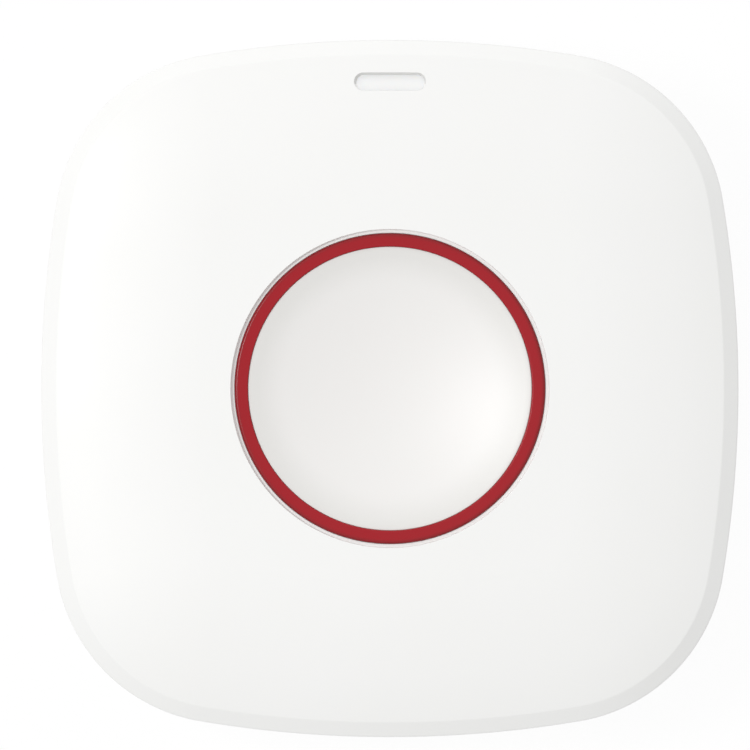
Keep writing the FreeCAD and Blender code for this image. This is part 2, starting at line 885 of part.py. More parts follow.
def light_pipe():
    """Diffuser in the indicator window, its face sloped, with a stem down to the lamp."""
    body = new_body("light_pipe")
    clear = size.close_fit
    head = sketch_on(body, "head", height=window_seat)
    length = size.window_length - clear
    width = size.window_width - clear
    draw_slot(head, 0, window_y, length, width)
    pad(body, head, cover_top - window_seat)
    slope = sketch_on(body, "slope", "YZ_Plane", -size.window_length)
    fall = (lower_floor - upper_floor) / size.window_width * PAST
    draw_profile(slope, [
        (window_lower - PAST, lower_floor + fall),
        (window_upper + PAST, upper_floor - fall),
        (window_upper + PAST, cover_top + PAST),
        (window_lower - PAST, cover_top + PAST),
    ])
    pocket(body, slope, 2 * size.window_length, upward=True)
    flange_level = window_seat - size.pipe_flange_height
    flange = sketch_on(body, "flange", height=flange_level)
    draw_slot(flange, 0, window_y, length + size.pipe_flange, width + size.pipe_flange)
    pad(body, flange, size.pipe_flange_height)
    stem_bottom = led_top + size.pipe_gap
    stem = sketch_on(body, "stem", height=stem_bottom)
    draw_slot(stem, 0, window_y, size.led_length + size.pipe_flange, width)
    pad(body, stem, flange_level - stem_bottom)
    return body


def circuit_board():
    """Board that fills the outline, relieved round the corner bosses."""
    body = new_body("circuit_board")
    outline = sketch_on(body, "outline", height=board_bottom)
    draw_outline(outline, board_inset)
    pad(body, outline, size.board_thickness)
    relief = sketch_on(body, "relief", height=board_bottom)
    place = boss_place + size.relief_shift / math.sqrt(2)
    draw_circle(relief, place, place, size.relief_shift + size.boss_radius + size.relief_gap)
    relief_cut = pocket(body, relief, size.board_thickness, upward=True)
    polar(body, [relief_cut], CORNERS)
    holes = sketch_on(body, "screw_holes", height=board_bottom)
    for x, y in board_posts():
        draw_circle(holes, x, y, small_hole + size.fit)
    pocket(body, holes, size.board_thickness, upward=True)
    return body


def push_switch(label, x, y, bottom, top, plunger_hole, facing):
    """Square push switch: body, four leads and a bore for its plunger."""
    body = new_body(label)
    case = sketch_on(body, "case", height=bottom)
    draw_rectangle(case, x, y, size.switch_width, size.switch_width)
    pad(body, case, top - bottom)
    leads = sketch_on(body, "leads", height=bottom if facing > 0 else top - size.lead_thickness)
    reach = size.switch_width / 2 + size.lead_length / 2
    row = size.switch_width / 2 - size.lead_width
    for side in (1, -1):
        for end in (1, -1):
            centre_x = x + side * reach
            centre_y = y + end * row
            draw_rectangle(leads, centre_x, centre_y, size.lead_length, size.lead_width)
    pad(body, leads, size.lead_thickness)
    bore = sketch_on(body, "bore", height=top if facing > 0 else bottom)
    draw_circle(bore, x, y, plunger_hole)
    pocket(body, bore, 2 * size.plunger_depth, upward=facing < 0)
    return body


def tact_switch():
    """Switch under the button."""
    bore = size.plunger_radius + size.fit
    zero = as_size(0)
    return push_switch("tact_switch", zero, zero, board_top, switch_top, bore, 1)


def tact_plunger():
    """Plunger of the switch under the button."""
    body = new_body("tact_plunger")
    bottom = switch_top - size.plunger_depth
    disc = sketch_on(body, "disc", height=bottom)
    draw_circle(disc, 0, 0, size.plunger_radius)
    pad(body, disc, plunger_top - bottom)
    return body


def tamper_switch():
    """Switch on the back of the board, held in while the wall plate is on."""
    bore = size.tamper_radius + size.fit
    x = tamper_x
    y = size.tamper_y
    return push_switch("tamper_switch", x, y, tamper_bottom, board_bottom, bore, -1)


def tamper_plunger():
    """Long plunger from the tamper switch through the rear cover to the wall plate."""
    body = new_body("tamper_plunger")
    top = tamper_bottom + size.plunger_depth
    rod = sketch_on(body, "rod", height=post_top)
    draw_circle(rod, tamper_x, size.tamper_y, size.tamper_radius)
    pad(body, rod, top - post_top)
    return body


def indicator_led():
    """Lamp under the window: a base with a clear block on it."""
    body = new_body("indicator_led")
    half = size.led_height / 2
    base = sketch_on(body, "base", height=board_top)
    draw_rectangle(base, as_size(0), window_y, size.led_length, size.led_width)
    pad(body, base, half)
    lens = sketch_on(body, "lens", height=board_top + half)
    length = size.led_length * 0.6
    draw_rectangle(lens, as_size(0), window_y, length, size.led_width)
    pad(body, lens, half)
    return body


def radio_shield():
    """Sheet metal can over the radio chip, open to the board."""
    body = new_body("radio_shield")
    can = sketch_on(body, "can", height=board_bottom - size.shield_height)
    draw_rectangle(can, shield_x, size.shield_y, size.shield_width, size.shield_length)
    pad(body, can, size.shield_height)
    hollow = sketch_on(body, "hollow", height=board_bottom)
    width = size.shield_width - 2 * size.shield_sheet
    length = size.shield_length - 2 * size.shield_sheet
    draw_rectangle(hollow, shield_x, size.shield_y, width, length)
    pocket(body, hollow, size.shield_height - size.shield_sheet)
    return body


def board_chip(label, x, y, width, length, height):
    """Flat chip on the back of the board."""
    body = new_body(label)
    case = sketch_on(body, "case", height=board_bottom - height)
    draw_rectangle(case, x, y, width, length)
    pad(body, case, height)
    return body


def radio_chip():
    """Radio chip under the shield."""
    width = size.radio_width
    return board_chip("radio_chip", shield_x, size.shield_y, width, width, size.radio_height)


def microcontroller():
    """Controller chip."""
    x = controller_x
    y = size.controller_y
    width = size.controller_width
    return board_chip("microcontroller", x, y, width, width, size.controller_height)


def crystal():
    """Quartz crystal beside the controller."""
    x = controller_x
    y = size.controller_y - size.crystal_drop
    height = size.crystal_height
    return board_chip("crystal", x, y, size.crystal_length, size.crystal_width, height)


def chip_capacitors():
    """Rows of small chip capacitors, one node of separate solids."""
    body = new_body("chip_capacitors")
    chips = sketch_on(body, "chips", height=board_bottom - size.chip_width)
    for row in range(CHIP_ROWS):
        for column in range(CHIPS_PER_ROW):
            x = chip_x + column * size.chip_pitch
            y = size.chip_y - row * size.chip_pitch
            draw_rectangle(chips, x, y, size.chip_length, size.chip_width)
    pad(body, chips, size.chip_width)
    return body


def antenna():
    """Stamped strip aerial on three legs beside the window."""
    body = new_body("antenna")
    strip = sketch_on(body, "strip", "XZ_Plane", -window_y - size.antenna_sheet / 2)
    right = -size.antenna_start
    left = right - size.antenna_length
    feed = right - 2 * size.antenna_strip
    top = board_top + size.antenna_height
    bar = top - size.antenna_strip
    leg = size.antenna_strip
    draw_profile(strip, [
        (left, board_top),
        (left + leg, board_top),
        (left + leg, bar),
        (feed - leg, bar),
        (feed - leg, board_top),
        (feed, board_top),
        (feed, bar),
        (right - leg, bar),
        (right - leg, board_top),
        (right, board_top),
        (right, top),
        (left, top),
    ])
    pad(body, strip, size.antenna_sheet)
    return body


def battery_holder():
    """Round holder under the board, with lugs that keep the cell in."""
    body = new_body("battery_holder")
    rim = sketch_on(body, "rim", height=holder_bottom)
    draw_circle(rim, 0, 0, holder_outer)
    draw_circle(rim, 0, 0, holder_inner)
    pad(body, rim, cell_top - holder_bottom)
    base = sketch_on(body, "base", height=cell_top)
    draw_circle(base, 0, 0, holder_outer)
    draw_circle(base, 0, 0, size.holder_opening)
    pad(body, base, size.holder_base)
    lug = sketch_on(body, "lug", height=holder_bottom)
    tip = size.cell_radius - size.lug_reach
    depth = holder_inner - tip + size.holder_wall / 2
    draw_rectangle(lug, tip + depth / 2, as_size(0), depth, size.lug_width)
    lug_pad = pad(body, lug, size.lug_thickness)
    polar(body, [lug_pad], 2)
    middle = (holder_inner + holder_outer) / 2
    contact = sketch_on(body, "contact_slot", height=holder_bottom)
    width = size.contact_width + 4 * size.fit
    draw_rectangle(contact, as_size(0), middle, width, 2 * size.holder_wall)
    pocket(body, contact, board_bottom - holder_bottom, upward=True)
    notch = sketch_on(body, "finger_notch", height=holder_bottom)
    draw_rectangle(notch, as_size(0), -middle, size.finger_notch, 4 * size.holder_wall)
    pocket(body, notch, size.finger_notch_height, upward=True)
    return body


def coin_cell():
    """Round lithium cell, its can downwards."""
    body = new_body("coin_cell")
    cap_radius = size.cell_radius - size.cell_step
    shoulder = cell_top - size.cell_cap_height
    section = sketch_on(body, "section", "XZ_Plane")
    draw_profile(section, [
        (0, cell_bottom),
        (size.cell_radius, cell_bottom),
        (size.cell_radius, shoulder),
        (cap_radius, shoulder),
        (cap_radius, cell_top),
        (0, cell_top),
    ])
    turned = revolve(body, section)
    document.recompute()
    edges = level_edges(turned, cell_bottom) + level_edges(turned, shoulder, size.cell_radius)
    chamfer(body, turned, edges, size.cell_edge)
    return body


def battery_contact_positive():
    """Sprung strip against the side of the can, with its foot on the board."""
    body = new_body("battery_contact_positive")
    strip = sketch_on(body, "strip", "YZ_Plane", -size.contact_width / 2)
    near = size.cell_radius + size.screw_gap
    far = near + size.contact_thickness
    foot_end = near + size.contact_foot
    foot_level = board_bottom - size.contact_thickness
    tip = cell_bottom + size.cell_height / 4
    draw_profile(strip, [
        (near, tip),
        (far, tip),
        (far, foot_level),
        (foot_end, foot_level),
        (foot_end, board_bottom),
        (near, board_bottom),
    ])
    pad(body, strip, size.contact_width)
    return body


def battery_contact_negative():
    """Leaf spring between the board and the cell's cap."""
    body = new_body("battery_contact_negative")
    leaf = sketch_on(body, "leaf", "XZ_Plane", -size.contact_width / 2)
    sheet_thickness = size.contact_thickness
    end = size.holder_opening - size.contact_thickness * 4
    bend = size.holder_opening / 4
    draw_profile(leaf, [
        (-end, board_bottom - sheet_thickness),
        (-bend, board_bottom - sheet_thickness),
        (bend, cell_top),
        (end, cell_top),
        (end, cell_top + sheet_thickness),
        (bend, cell_top + sheet_thickness),
        (-bend, board_bottom),
        (-end, board_bottom),
    ])
    pad(body, leaf, size.contact_width)
    return body


def screw_set(label, places, head_bottom, head, head_height, shank, reach, count):
    """Like screws, heads down: one node of separate solids."""
    body = new_body(label)
    heads = sketch_on(body, "heads", height=head_bottom)
    shanks = sketch_on(body, "shanks", height=head_bottom + head_height)
    for x, y in places:
        draw_circle(heads, x, y, head)
        draw_circle(shanks, x, y, shank)
    head_pad = pad(body, heads, head_height)
    shank_pad = pad(body, shanks, reach)
    if count > 1:
        polar(body, [head_pad, shank_pad], count)
    return body


def housing_screws():
    """Four screws from the back through the rear cover's pillars."""
    head_bottom = rear_bottom + size.fit
    reach = boss_bottom + size.housing_reach - head_bottom - size.housing_head_height
    return screw_set("housing_screws", [(boss_place, boss_place)], head_bottom,
                     size.housing_head, size.housing_head_height, size.housing_screw,
                     reach, CORNERS)


def board_screws():
    """Three screws that hold the board to its posts."""
    head_bottom = board_bottom - size.small_head_height
    reach = size.board_thickness + size.small_reach
    return screw_set("board_screws", board_posts(), head_bottom, size.small_head,
                     size.small_head_height, size.small_screw, reach, 1)


def retainer_screws():
    """Three screws that hold the retainer's ears."""
    head_bottom = ear_bottom - size.small_head_height
    reach = size.ear_thickness + size.small_reach
    return screw_set("retainer_screws", [(as_size(0), ear_reach)], head_bottom,
                     size.small_head, size.small_head_height, size.small_screw,
                     reach, SPRINGS)


PIECES = [
    front_cover,
    rear_cover,
    mounting_plate,
    button_ring,
    button_cap,
    button_retainer,
    light_pipe,
    circuit_board,
    tact_switch,
    tact_plunger,
    tamper_switch,
    tamper_plunger,
    indicator_led,
    radio_shield,
    radio_chip,
    microcontroller,
    crystal,
    chip_capacitors,
    antenna,
    battery_holder,
    coin_cell,
    battery_contact_positive,
    battery_contact_negative,
    housing_screws,
    board_screws,
    retainer_screws,
]

bodies = [piece() for piece in PIECES]
bodies += [return_spring(number) for number in range(SPRINGS)]
document.recompute()


def check_features():
    """Stops on a failed object, and on a cut or a pad that changes nothing."""
    for item in document.Objects:
        if "Invalid" in item.State or "Error" in item.State:
            raise RuntimeError("%s failed: %s" % (item.Name, item.State))
        base = getattr(item, "BaseFeature", None)
        if base is None or item.isDerivedFrom("PartDesign::Body"):
            continue
        change = abs(item.Shape.Volume - base.Shape.Volume)
        if change < TOUCH:
            raise RuntimeError("%s changes nothing" % item.Name)


check_features()
os.makedirs("parts", exist_ok=True)
for body in bodies:
    shape = body.Shape
    if shape.isNull() or not shape.isValid() or not shape.Solids:
        raise RuntimeError("%s has no valid solid" % body.Label)
    shape.exportStep("parts/%s.step" % body.Label)
    print(body.Label, len(shape.Solids), "solids", round(shape.Volume, 2), "mm3")
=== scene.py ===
# %% [markdown]
# A wireless panic button, dressed for the camera.
#
# The real object is a small white alarm transmitter: a crowned squircle housing of moulded
# plastic with a large dished push button in a red ring, and a narrow indicator window above it.
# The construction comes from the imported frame. This lesson gives each visible surface its
# finish, and remakes the pieces that the camera sees closely with finely rounded edges.

# %% Load the frame
import math

import bmesh
import bpy
from mathutils import Matrix, Vector


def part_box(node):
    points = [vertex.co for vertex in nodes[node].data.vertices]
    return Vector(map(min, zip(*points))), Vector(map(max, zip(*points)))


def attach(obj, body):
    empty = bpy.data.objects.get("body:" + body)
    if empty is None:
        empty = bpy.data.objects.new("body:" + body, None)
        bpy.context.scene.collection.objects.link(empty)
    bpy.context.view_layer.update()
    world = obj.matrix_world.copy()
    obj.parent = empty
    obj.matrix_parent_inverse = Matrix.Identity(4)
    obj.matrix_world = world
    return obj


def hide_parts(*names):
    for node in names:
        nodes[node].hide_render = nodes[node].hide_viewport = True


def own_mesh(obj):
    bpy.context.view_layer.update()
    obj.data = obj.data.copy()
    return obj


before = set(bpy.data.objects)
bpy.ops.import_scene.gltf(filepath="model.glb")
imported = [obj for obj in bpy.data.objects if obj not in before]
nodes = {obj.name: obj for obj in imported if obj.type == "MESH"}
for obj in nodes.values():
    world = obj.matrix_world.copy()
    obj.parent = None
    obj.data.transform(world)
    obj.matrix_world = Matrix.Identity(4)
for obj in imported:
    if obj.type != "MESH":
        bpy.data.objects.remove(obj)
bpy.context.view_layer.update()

# %% [markdown]
# Lengths are easier to read in millimetres, and Blender's scene is in metres, so one value
# turns the first into the second. The housing's sizes are read from the frame, so that the
# dressed pieces fit the solids even if those are made a little wider or thinner.

# %% Units and the housing's sizes
MM = 0.001
cover_low, cover_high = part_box("front_cover")
HALF_WIDTH = cover_high.x / MM
FACE_TOP = cover_high.z / MM
SPLIT = cover_low.z / MM
print("Half width", round(HALF_WIDTH, 2), "mm, face at", round(FACE_TOP, 2),
      "mm, housing split at", round(SPLIT, 2), "mm")

# %% [markdown]
# Every material below is a small tree of nodes. One helper adds a node: it sets the node's
# own properties, and fills each input with either a fixed value or a link from another node.

# %% A helper for nodes and one for colours
def add_node(tree, kind, inputs=None, **settings):
    """Adds a node, sets its properties, and sets or links its inputs."""
    node = tree.nodes.new(kind)
    for name, value in settings.items():
        setattr(node, name, value)
    for name, value in (inputs or {}).items():
        socket = node.inputs[name]
        if isinstance(value, bpy.types.NodeSocket):
            tree.links.new(value, socket)
        else:
            socket.default_value = value
    return node


def colour(code):
    """A colour written as an sRGB hex code, in the linear values that the shader uses."""
    parts = [int(code[start:start + 2], 16) / 255 for start in (0, 2, 4)]
    linear = [part / 12.92 if part <= 0.04045 else ((part + 0.055) / 1.055) ** 2.4
              for part in parts]
    return (*linear, 1.0)


def new_material(name):
    """An empty node material: its tree, its output and the place on the object."""
    material = bpy.data.materials.new(name)
    material.use_nodes = True
    material.node_tree.nodes.clear()
    output = add_node(material.node_tree, "ShaderNodeOutputMaterial")
    place = add_node(material.node_tree, "ShaderNodeTexCoord").outputs["Object"]
    return material, material.node_tree, output, place


print("White of the housing, linear:", [round(part, 3) for part in colour("F3F3F2")[:3]])

# %% [markdown]
# Moulded plastic is the finish of nearly everything here. A steel mould is textured by sparks,
# and the plastic takes up that texture: a fine grain that spreads the highlights. A photographed
# grain would repeat, and would need each piece unwrapped. A noise on the object's coordinates
# does neither, and its scale is a size in millimetres. The real grain is about 0.05 mm, too
# fine for this picture, so it is drawn two to eight times coarser.
#
# Slow cooling lets the surface sink very slightly, over a centimetre or so. A wide, weak noise
# gives that in the tone and in the roughness, and keeps the sheen from looking computed.

# %% Moulded plastic, and the housing's
SINK_MM = 14
SHEEN_SPREAD = 0.04
PLASTIC_IOR = 1.53


def moulded_plastic(name, tone, shade, roughness, grain_mm, depth_mm, glow=0.0, level=0.5):
    """Plastic from a textured mould, in two near tones, with a grain of a width and depth."""
    material, tree, output, place = new_material(name)
    wave = add_node(tree, "ShaderNodeTexNoise", {
        "Vector": place, "Scale": 1 / (SINK_MM * MM), "Detail": 2.0})
    tint = add_node(tree, "ShaderNodeMix", {
        "Factor": wave.outputs["Fac"], "A": colour(tone), "B": colour(shade)},
        data_type="RGBA")
    sheen = add_node(tree, "ShaderNodeMapRange", {
        "Value": wave.outputs["Fac"],
        "To Min": roughness - SHEEN_SPREAD, "To Max": roughness + SHEEN_SPREAD})
    grain = add_node(tree, "ShaderNodeTexNoise", {
        "Vector": place, "Scale": 1 / (grain_mm * MM), "Detail": 3.0, "Roughness": 0.6})
    bump = add_node(tree, "ShaderNodeBump", {
        "Height": grain.outputs["Fac"], "Distance": depth_mm * MM, "Strength": 1.0})
    surface = add_node(tree, "ShaderNodeBsdfPrincipled", {
        "Base Color": tint.outputs["Result"], "Roughness": sheen.outputs["Result"],
        "Normal": bump.outputs["Normal"], "IOR": PLASTIC_IOR, "Specular IOR Level": level,
        "Subsurface Weight": glow, "Subsurface Radius": (1.2, 1.0, 0.8),
        "Subsurface Scale": 0.6 * MM})
    tree.links.new(surface.outputs["BSDF"], output.inputs["Surface"])
    return material


# Housing: white ABS from a finely textured mould, satin, so the crown shades softly.
white_abs = moulded_plastic(
    "white_abs_spark_grain", "F3F3F2", "F1F1EF",
    roughness=0.46, grain_mm=0.22, depth_mm=0.0022)
print(white_abs.name, "has", len(white_abs.node_tree.nodes), "nodes")

# %% [markdown]
# The other plastics on the outside differ from the housing's only in tone, gloss and grain: a
# smoother cap and ring, a window that lets light in, and a coarser wall round that window, whose
# greyer tone is painted shade. A difference that small is better told by other numbers for the
# same tree than by a new one.

# %% The other plastics that are seen
# Cap: a touch darker and smoother than the housing, polished a little more by fingers.
cap_abs = moulded_plastic(
    "white_abs_satin_cap", "EEEDEB", "ECEAE8",
    roughness=0.40, grain_mm=0.20, depth_mm=0.0016)
# Ring: deep red ABS coloured through, from a polished mould. A low specular level keeps the
# red full under white light.
red_abs = moulded_plastic(
    "red_abs_gloss_ring", "A3121F", "9C101C",
    roughness=0.26, grain_mm=0.30, depth_mm=0.0008, level=0.25)
# Window: frosted polycarbonate that lets some light in below its face, so it looks milky.
frosted = moulded_plastic(
    "frosted_polycarbonate", "F3F3F2", "F0F0EF",
    roughness=0.5, grain_mm=0.2, depth_mm=0.002, glow=0.3)
# Wall of the window's slot: the same ABS, from a part of the mould that sparks left coarser.
# Its grey tone is painted shade on the slot's steep upper and left walls, so the slot is drawn
# by a soft grey line.
slot_wall_painted_shade = moulded_plastic(
    "white_abs_painted_slot_shade", "DCDCDA", "D8D8D6",
    roughness=0.6, grain_mm=0.12, depth_mm=0.004)
print("Seen:", cap_abs.name, red_abs.name, frosted.name, slot_wall_painted_shade.name)

# %% [markdown]
# The cap and the ring are both painted darker towards their edges, as painted shade. The cap's
# dish turns greyer from one radius out to its rim, where the ring stands above it, and the ring's
# outer edge, which turns down into the gap, ends in a darker painted line. Both pieces are turned
# shapes, so the distance from the middle says where the tone is darker, and no mask is needed.

# %% Painted shade near the edges of the button
def painted_rim_shade(material, unshaded_mm, rim_mm, shaded_tone):
    """Mixes a darker tone, painted shade, into a turned piece's plastic, from one radius out to
    another.
    """
    tree = material.node_tree
    shader = next(node for node in tree.nodes if node.bl_idname == "ShaderNodeBsdfPrincipled")
    tint = shader.inputs["Base Color"].links[0].from_socket
    place = add_node(tree, "ShaderNodeTexCoord").outputs["Object"]
    across = add_node(tree, "ShaderNodeVectorMath", {
        0: place, 1: (1, 1, 0)}, operation="MULTIPLY")
    radius = add_node(tree, "ShaderNodeVectorMath", {0: across.outputs[0]}, operation="LENGTH")
    # The share of painted shade grows from the unshaded radius out to the rim.
    shade_share = add_node(tree, "ShaderNodeMapRange", {
        "Value": radius.outputs["Value"], "From Min": unshaded_mm * MM, "From Max": rim_mm * MM},
        interpolation_type="SMOOTHSTEP")
    mixed = add_node(tree, "ShaderNodeMix", {
        "Factor": shade_share.outputs["Result"], "A": tint, "B": colour(shaded_tone)}, data_type="RGBA")
    tree.links.new(mixed.outputs["Result"], shader.inputs["Base Color"])


# Painted shade: the cap's dish greys towards its rim, and the ring's outer edge darkens into a
# line.
painted_rim_shade(cap_abs, unshaded_mm=9.4, rim_mm=13.4, shaded_tone="E2E1DE")
painted_rim_shade(red_abs, unshaded_mm=13.75, rim_mm=14.18, shaded_tone="8A1A20")
print("Cap has", len(cap_abs.node_tree.nodes), "nodes, ring", len(red_abs.node_tree.nodes))

# %% [markdown]
# Inside, a maker takes what is cheap and strong: undyed ABS, black nylon with glass fibre, epoxy
# and ceramic. All of it comes out of a mould too, so the same helper gives it.

# %% The plastics inside
# Inside parts: undyed ABS, duller and yellower, because nobody sees it in use.
inner_abs = moulded_plastic(
    "natural_abs_inside", "DCDAD2", "D5D2C9",
    roughness=0.5, grain_mm=0.25, depth_mm=0.002)
# Switch bodies and the battery holder: black nylon, where glass fibre leaves a coarse dull skin.
black_nylon = moulded_plastic(
    "black_nylon_glass_filled", "1B1B1D", "151517",
    roughness=0.55, grain_mm=0.18, depth_mm=0.004)
# Chips: black epoxy moulded round the silicon, matt from a sand blasted mould.
chip_epoxy = moulded_plastic(
    "black_epoxy_chip", "161618", "1E1E20",
    roughness=0.6, grain_mm=0.12, depth_mm=0.003)
# A lamp of cast epoxy over its chip: milky, with a faint yellow where the dye sits.
lamp_epoxy = moulded_plastic(
    "cast_lamp_epoxy", "F1EEDD", "E6DFC2",
    roughness=0.22, grain_mm=0.4, depth_mm=0.0008, glow=0.4)
# Capacitors: pressed and fired ceramic, tan and slightly mottled.
ceramic = moulded_plastic(
    "fired_ceramic_capacitor", "94724C", "83633F",
    roughness=0.5, grain_mm=0.15, depth_mm=0.003)
print("Inside:", inner_abs.name, black_nylon.name, chip_epoxy.name, ceramic.name)

# %% [markdown]
# The metal parts inside are stamped, drawn or turned, then plated. Rolling and drawing leave
# fine lines along the metal. An anisotropic shader alone gives the stretched highlight, but no
# lines when one looks closely. So the noise is stretched along one axis: it is coarse across
# the lines and very long along them. The lines are about 0.02 mm apart on real sheet and are
# drawn near 0.1 mm here, so that they show. The plating keeps the shine even, with faint cloudy
# patches where it has started to dull. A metal keeps the default refractive index.

# %% Plated metals
CLOUD_MM = 3
SHINE_SPREAD = 0.07


def plated_metal(name, tone, shade, roughness, line_mm, depth_mm, stretch=(0.04, 1, 1)):
    """Metal with lines along the axis that stretch makes long, in two near tones."""
    material, tree, output, place = new_material(name)
    cloud = add_node(tree, "ShaderNodeTexNoise", {
        "Vector": place, "Scale": 1 / (CLOUD_MM * MM), "Detail": 3.0})
    tint = add_node(tree, "ShaderNodeMix", {
        "Factor": cloud.outputs["Fac"], "A": colour(tone), "B": colour(shade)},
        data_type="RGBA")
    drawn = add_node(tree, "ShaderNodeMapping", {"Vector": place, "Scale": stretch})
    lines = add_node(tree, "ShaderNodeTexNoise", {
        "Vector": drawn.outputs["Vector"], "Scale": 1 / (line_mm * MM), "Detail": 4.0})
    sheen = add_node(tree, "ShaderNodeMapRange", {
        "Value": lines.outputs["Fac"],
        "To Min": roughness - SHINE_SPREAD, "To Max": roughness + SHINE_SPREAD})
    bump = add_node(tree, "ShaderNodeBump", {
        "Height": lines.outputs["Fac"], "Distance": depth_mm * MM, "Strength": 1.0})
    surface = add_node(tree, "ShaderNodeBsdfPrincipled", {
        "Base Color": tint.outputs["Result"], "Metallic": 1.0,
        "Roughness": sheen.outputs["Result"], "Normal": bump.outputs["Normal"]})
    tree.links.new(surface.outputs["BSDF"], output.inputs["Surface"])
    return material


# Cold rolled sheet with a tin coat: grey-white, with soft lines along the strip.
tinplate = plated_metal(
    "tinned_sheet_steel", "CFCFCB", "BDBDB9",
    roughness=0.32, line_mm=0.12, depth_mm=0.002)
# Drawn spring wire, bright and hard, so the highlights are narrow.
spring_wire = plated_metal(
    "bright_drawn_spring_wire", "C4C5C6", "AFB0B2",
    roughness=0.24, line_mm=0.10, depth_mm=0.0015, stretch=(1, 1, 0.2))
# Zinc plate on a pressed screw: a cool tone with a slightly uneven, chalky sheen.
zinc_plate = plated_metal(
    "zinc_plated_screw_steel", "B9BCC0", "A5A9AE",
    roughness=0.34, line_mm=0.15, depth_mm=0.002, stretch=(1, 1, 0.3))
# A deep drawn cell can of stainless steel: satin, with fine lines across its round face.
cell_can = plated_metal(
    "satin_stainless_cell_can", "C9C7C2", "B8B6B1",
    roughness=0.30, line_mm=0.09, depth_mm=0.0015)
# Phosphor bronze strip with a nickel coat, a touch warmer than the can that it presses on.
contact_strip = plated_metal(
    "nickel_plated_bronze_strip", "CBC3B2", "B9AF9B",
    roughness=0.27, line_mm=0.12, depth_mm=0.0015)
# Gold flash over copper on the aerial wire: the only warm metal on the board.
gold_flash = plated_metal(
    "gold_flashed_copper_wire", "D8B269", "C79E52",
    roughness=0.25, line_mm=0.10, depth_mm=0.001)
print("Metals:", tinplate.name, spring_wire.name, zinc_plate.name, cell_can.name)

# %% [markdown]
# The board is glass epoxy under green lacquer. Copper under the lacquer shows as a slightly
# lighter green, and its edges run in straight steps. Real tracks could be modelled, but nobody
# sees this board's. A Voronoi cell texture measured in steps along the two axes gives such
# patches, and a fine wave the weave of the glass cloth. At half of one over the thread
# spacing, its slanting bands lie about as far apart as the threads.

# %% The circuit board
PATCH_MM = 2.4
WEAVE_MM = 0.5
solder_mask, tree, output, place = new_material("green_lacquer_on_glass_epoxy")
patches = add_node(tree, "ShaderNodeTexVoronoi", {
    "Vector": place, "Scale": 1 / (PATCH_MM * MM), "Randomness": 0.85},
    distance="MANHATTAN", feature="F1")
copper_below = add_node(tree, "ShaderNodeMapRange", {
    "Value": patches.outputs["Distance"], "From Min": 0.52, "From Max": 0.56})
lacquer = add_node(tree, "ShaderNodeMix", {
    "Factor": copper_below.outputs["Result"], "A": colour("2E7D53"), "B": colour("1E6340")},
    data_type="RGBA")
weave = add_node(tree, "ShaderNodeTexWave", {
    "Vector": place, "Scale": 0.5 / (WEAVE_MM * MM), "Distortion": 0.6},
    wave_type="BANDS", bands_direction="DIAGONAL")
relief = add_node(tree, "ShaderNodeMath", {
    0: copper_below.outputs["Result"], 1: weave.outputs["Fac"]}, operation="SUBTRACT")
bump = add_node(tree, "ShaderNodeBump", {
    "Height": relief.outputs[0], "Distance": 0.012 * MM, "Strength": 0.6})
surface = add_node(tree, "ShaderNodeBsdfPrincipled", {
    "Base Color": lacquer.outputs["Result"], "Roughness": 0.33, "IOR": 1.55,
    "Coat Weight": 0.3, "Coat Roughness": 0.15, "Normal": bump.outputs["Normal"]})
tree.links.new(surface.outputs["BSDF"], output.inputs["Surface"])
print("Board:", solder_mask.name, "with", len(tree.nodes), "nodes")

# %% [markdown]
# Each CAD node keeps its mesh, which is exact, and only takes a finish. A table of finishes and
# nodes is easier to check against the list of parts than a line of code for each.

# %% Lay the finishes on the CAD nodes
finishes = {
    white_abs: ("rear_cover", "mounting_plate"),
    inner_abs: ("button_retainer", "tamper_plunger"),
    frosted: ("light_pipe",),
    black_nylon: ("tact_switch", "tact_plunger", "tamper_switch", "battery_holder"),
    chip_epoxy: ("radio_chip", "microcontroller"),
    ceramic: ("chip_capacitors",),
    solder_mask: ("circuit_board",),
    lamp_epoxy: ("indicator_led",),
    tinplate: ("radio_shield", "crystal"),
    gold_flash: ("antenna",),
    cell_can: ("coin_cell",),
    contact_strip: ("battery_contact_positive", "battery_contact_negative"),
    zinc_plate: ("housing_screws", "board_screws", "retainer_screws"),
}
for material, names in finishes.items():
    for name in names:
        for slot in nodes[name].material_slots:
            slot.material = material
print("Finished", sum(map(len, finishes.values())), "of", len(nodes), "CAD nodes")

# %% [markdown]
# The front cover is one moulding whose shape follows a rule: a single section, with the crowned
# face, the bevel, the wall and the ceiling, is led round a squircle of long and short arcs.
# Boxes and subdivision would round the corners by eye. A section led round a rail keeps every
# arc true, so the cover, the ring and the cap are all made that way, by one node tree.
#
# A section is a loop of corners. A mould maker breaks every edge with a small radius, and that
# radius is what catches the light, so each corner is written with its own radius here. A narrow
# strip on each side of the arc keeps the shading of the flat next to it from bending.

# %% Corners with a radius
STRIP_SHARE = 0.15
ALMOST_STRAIGHT = 0.02


def softened(corners, step_degrees=12):
    """A loop's points, where each corner (x, y, radius) is replaced by a small arc."""
    points = []
    for number, (x, y, radius) in enumerate(corners):
        here = Vector((x, y))
        before = Vector(corners[number - 1][:2]) - here
        after = Vector(corners[(number + 1) % len(corners)][:2]) - here
        turn = math.pi - before.angle(after)
        if radius == 0 or turn < ALMOST_STRAIGHT:
            points.append((x, y))
            continue
        before.normalize()
        after.normalize()
        reach = radius * math.tan(turn / 2)
        first = here + before * reach
        last = here + after * reach
        middle = here + (before + after).normalized() * (radius / math.cos(turn / 2))
        steps = max(2, round(math.degrees(turn) / step_degrees))
        points.append(tuple(first + before * radius * STRIP_SHARE))
        swing = (first - middle).angle_signed(last - middle)
        for index in range(steps + 1):
            arm = (first - middle).copy()
            arm.rotate(Matrix.Rotation(-swing * index / steps, 2))
            points.append(tuple(middle + arm))
        points.append(tuple(last + after * radius * STRIP_SHARE))
    return points


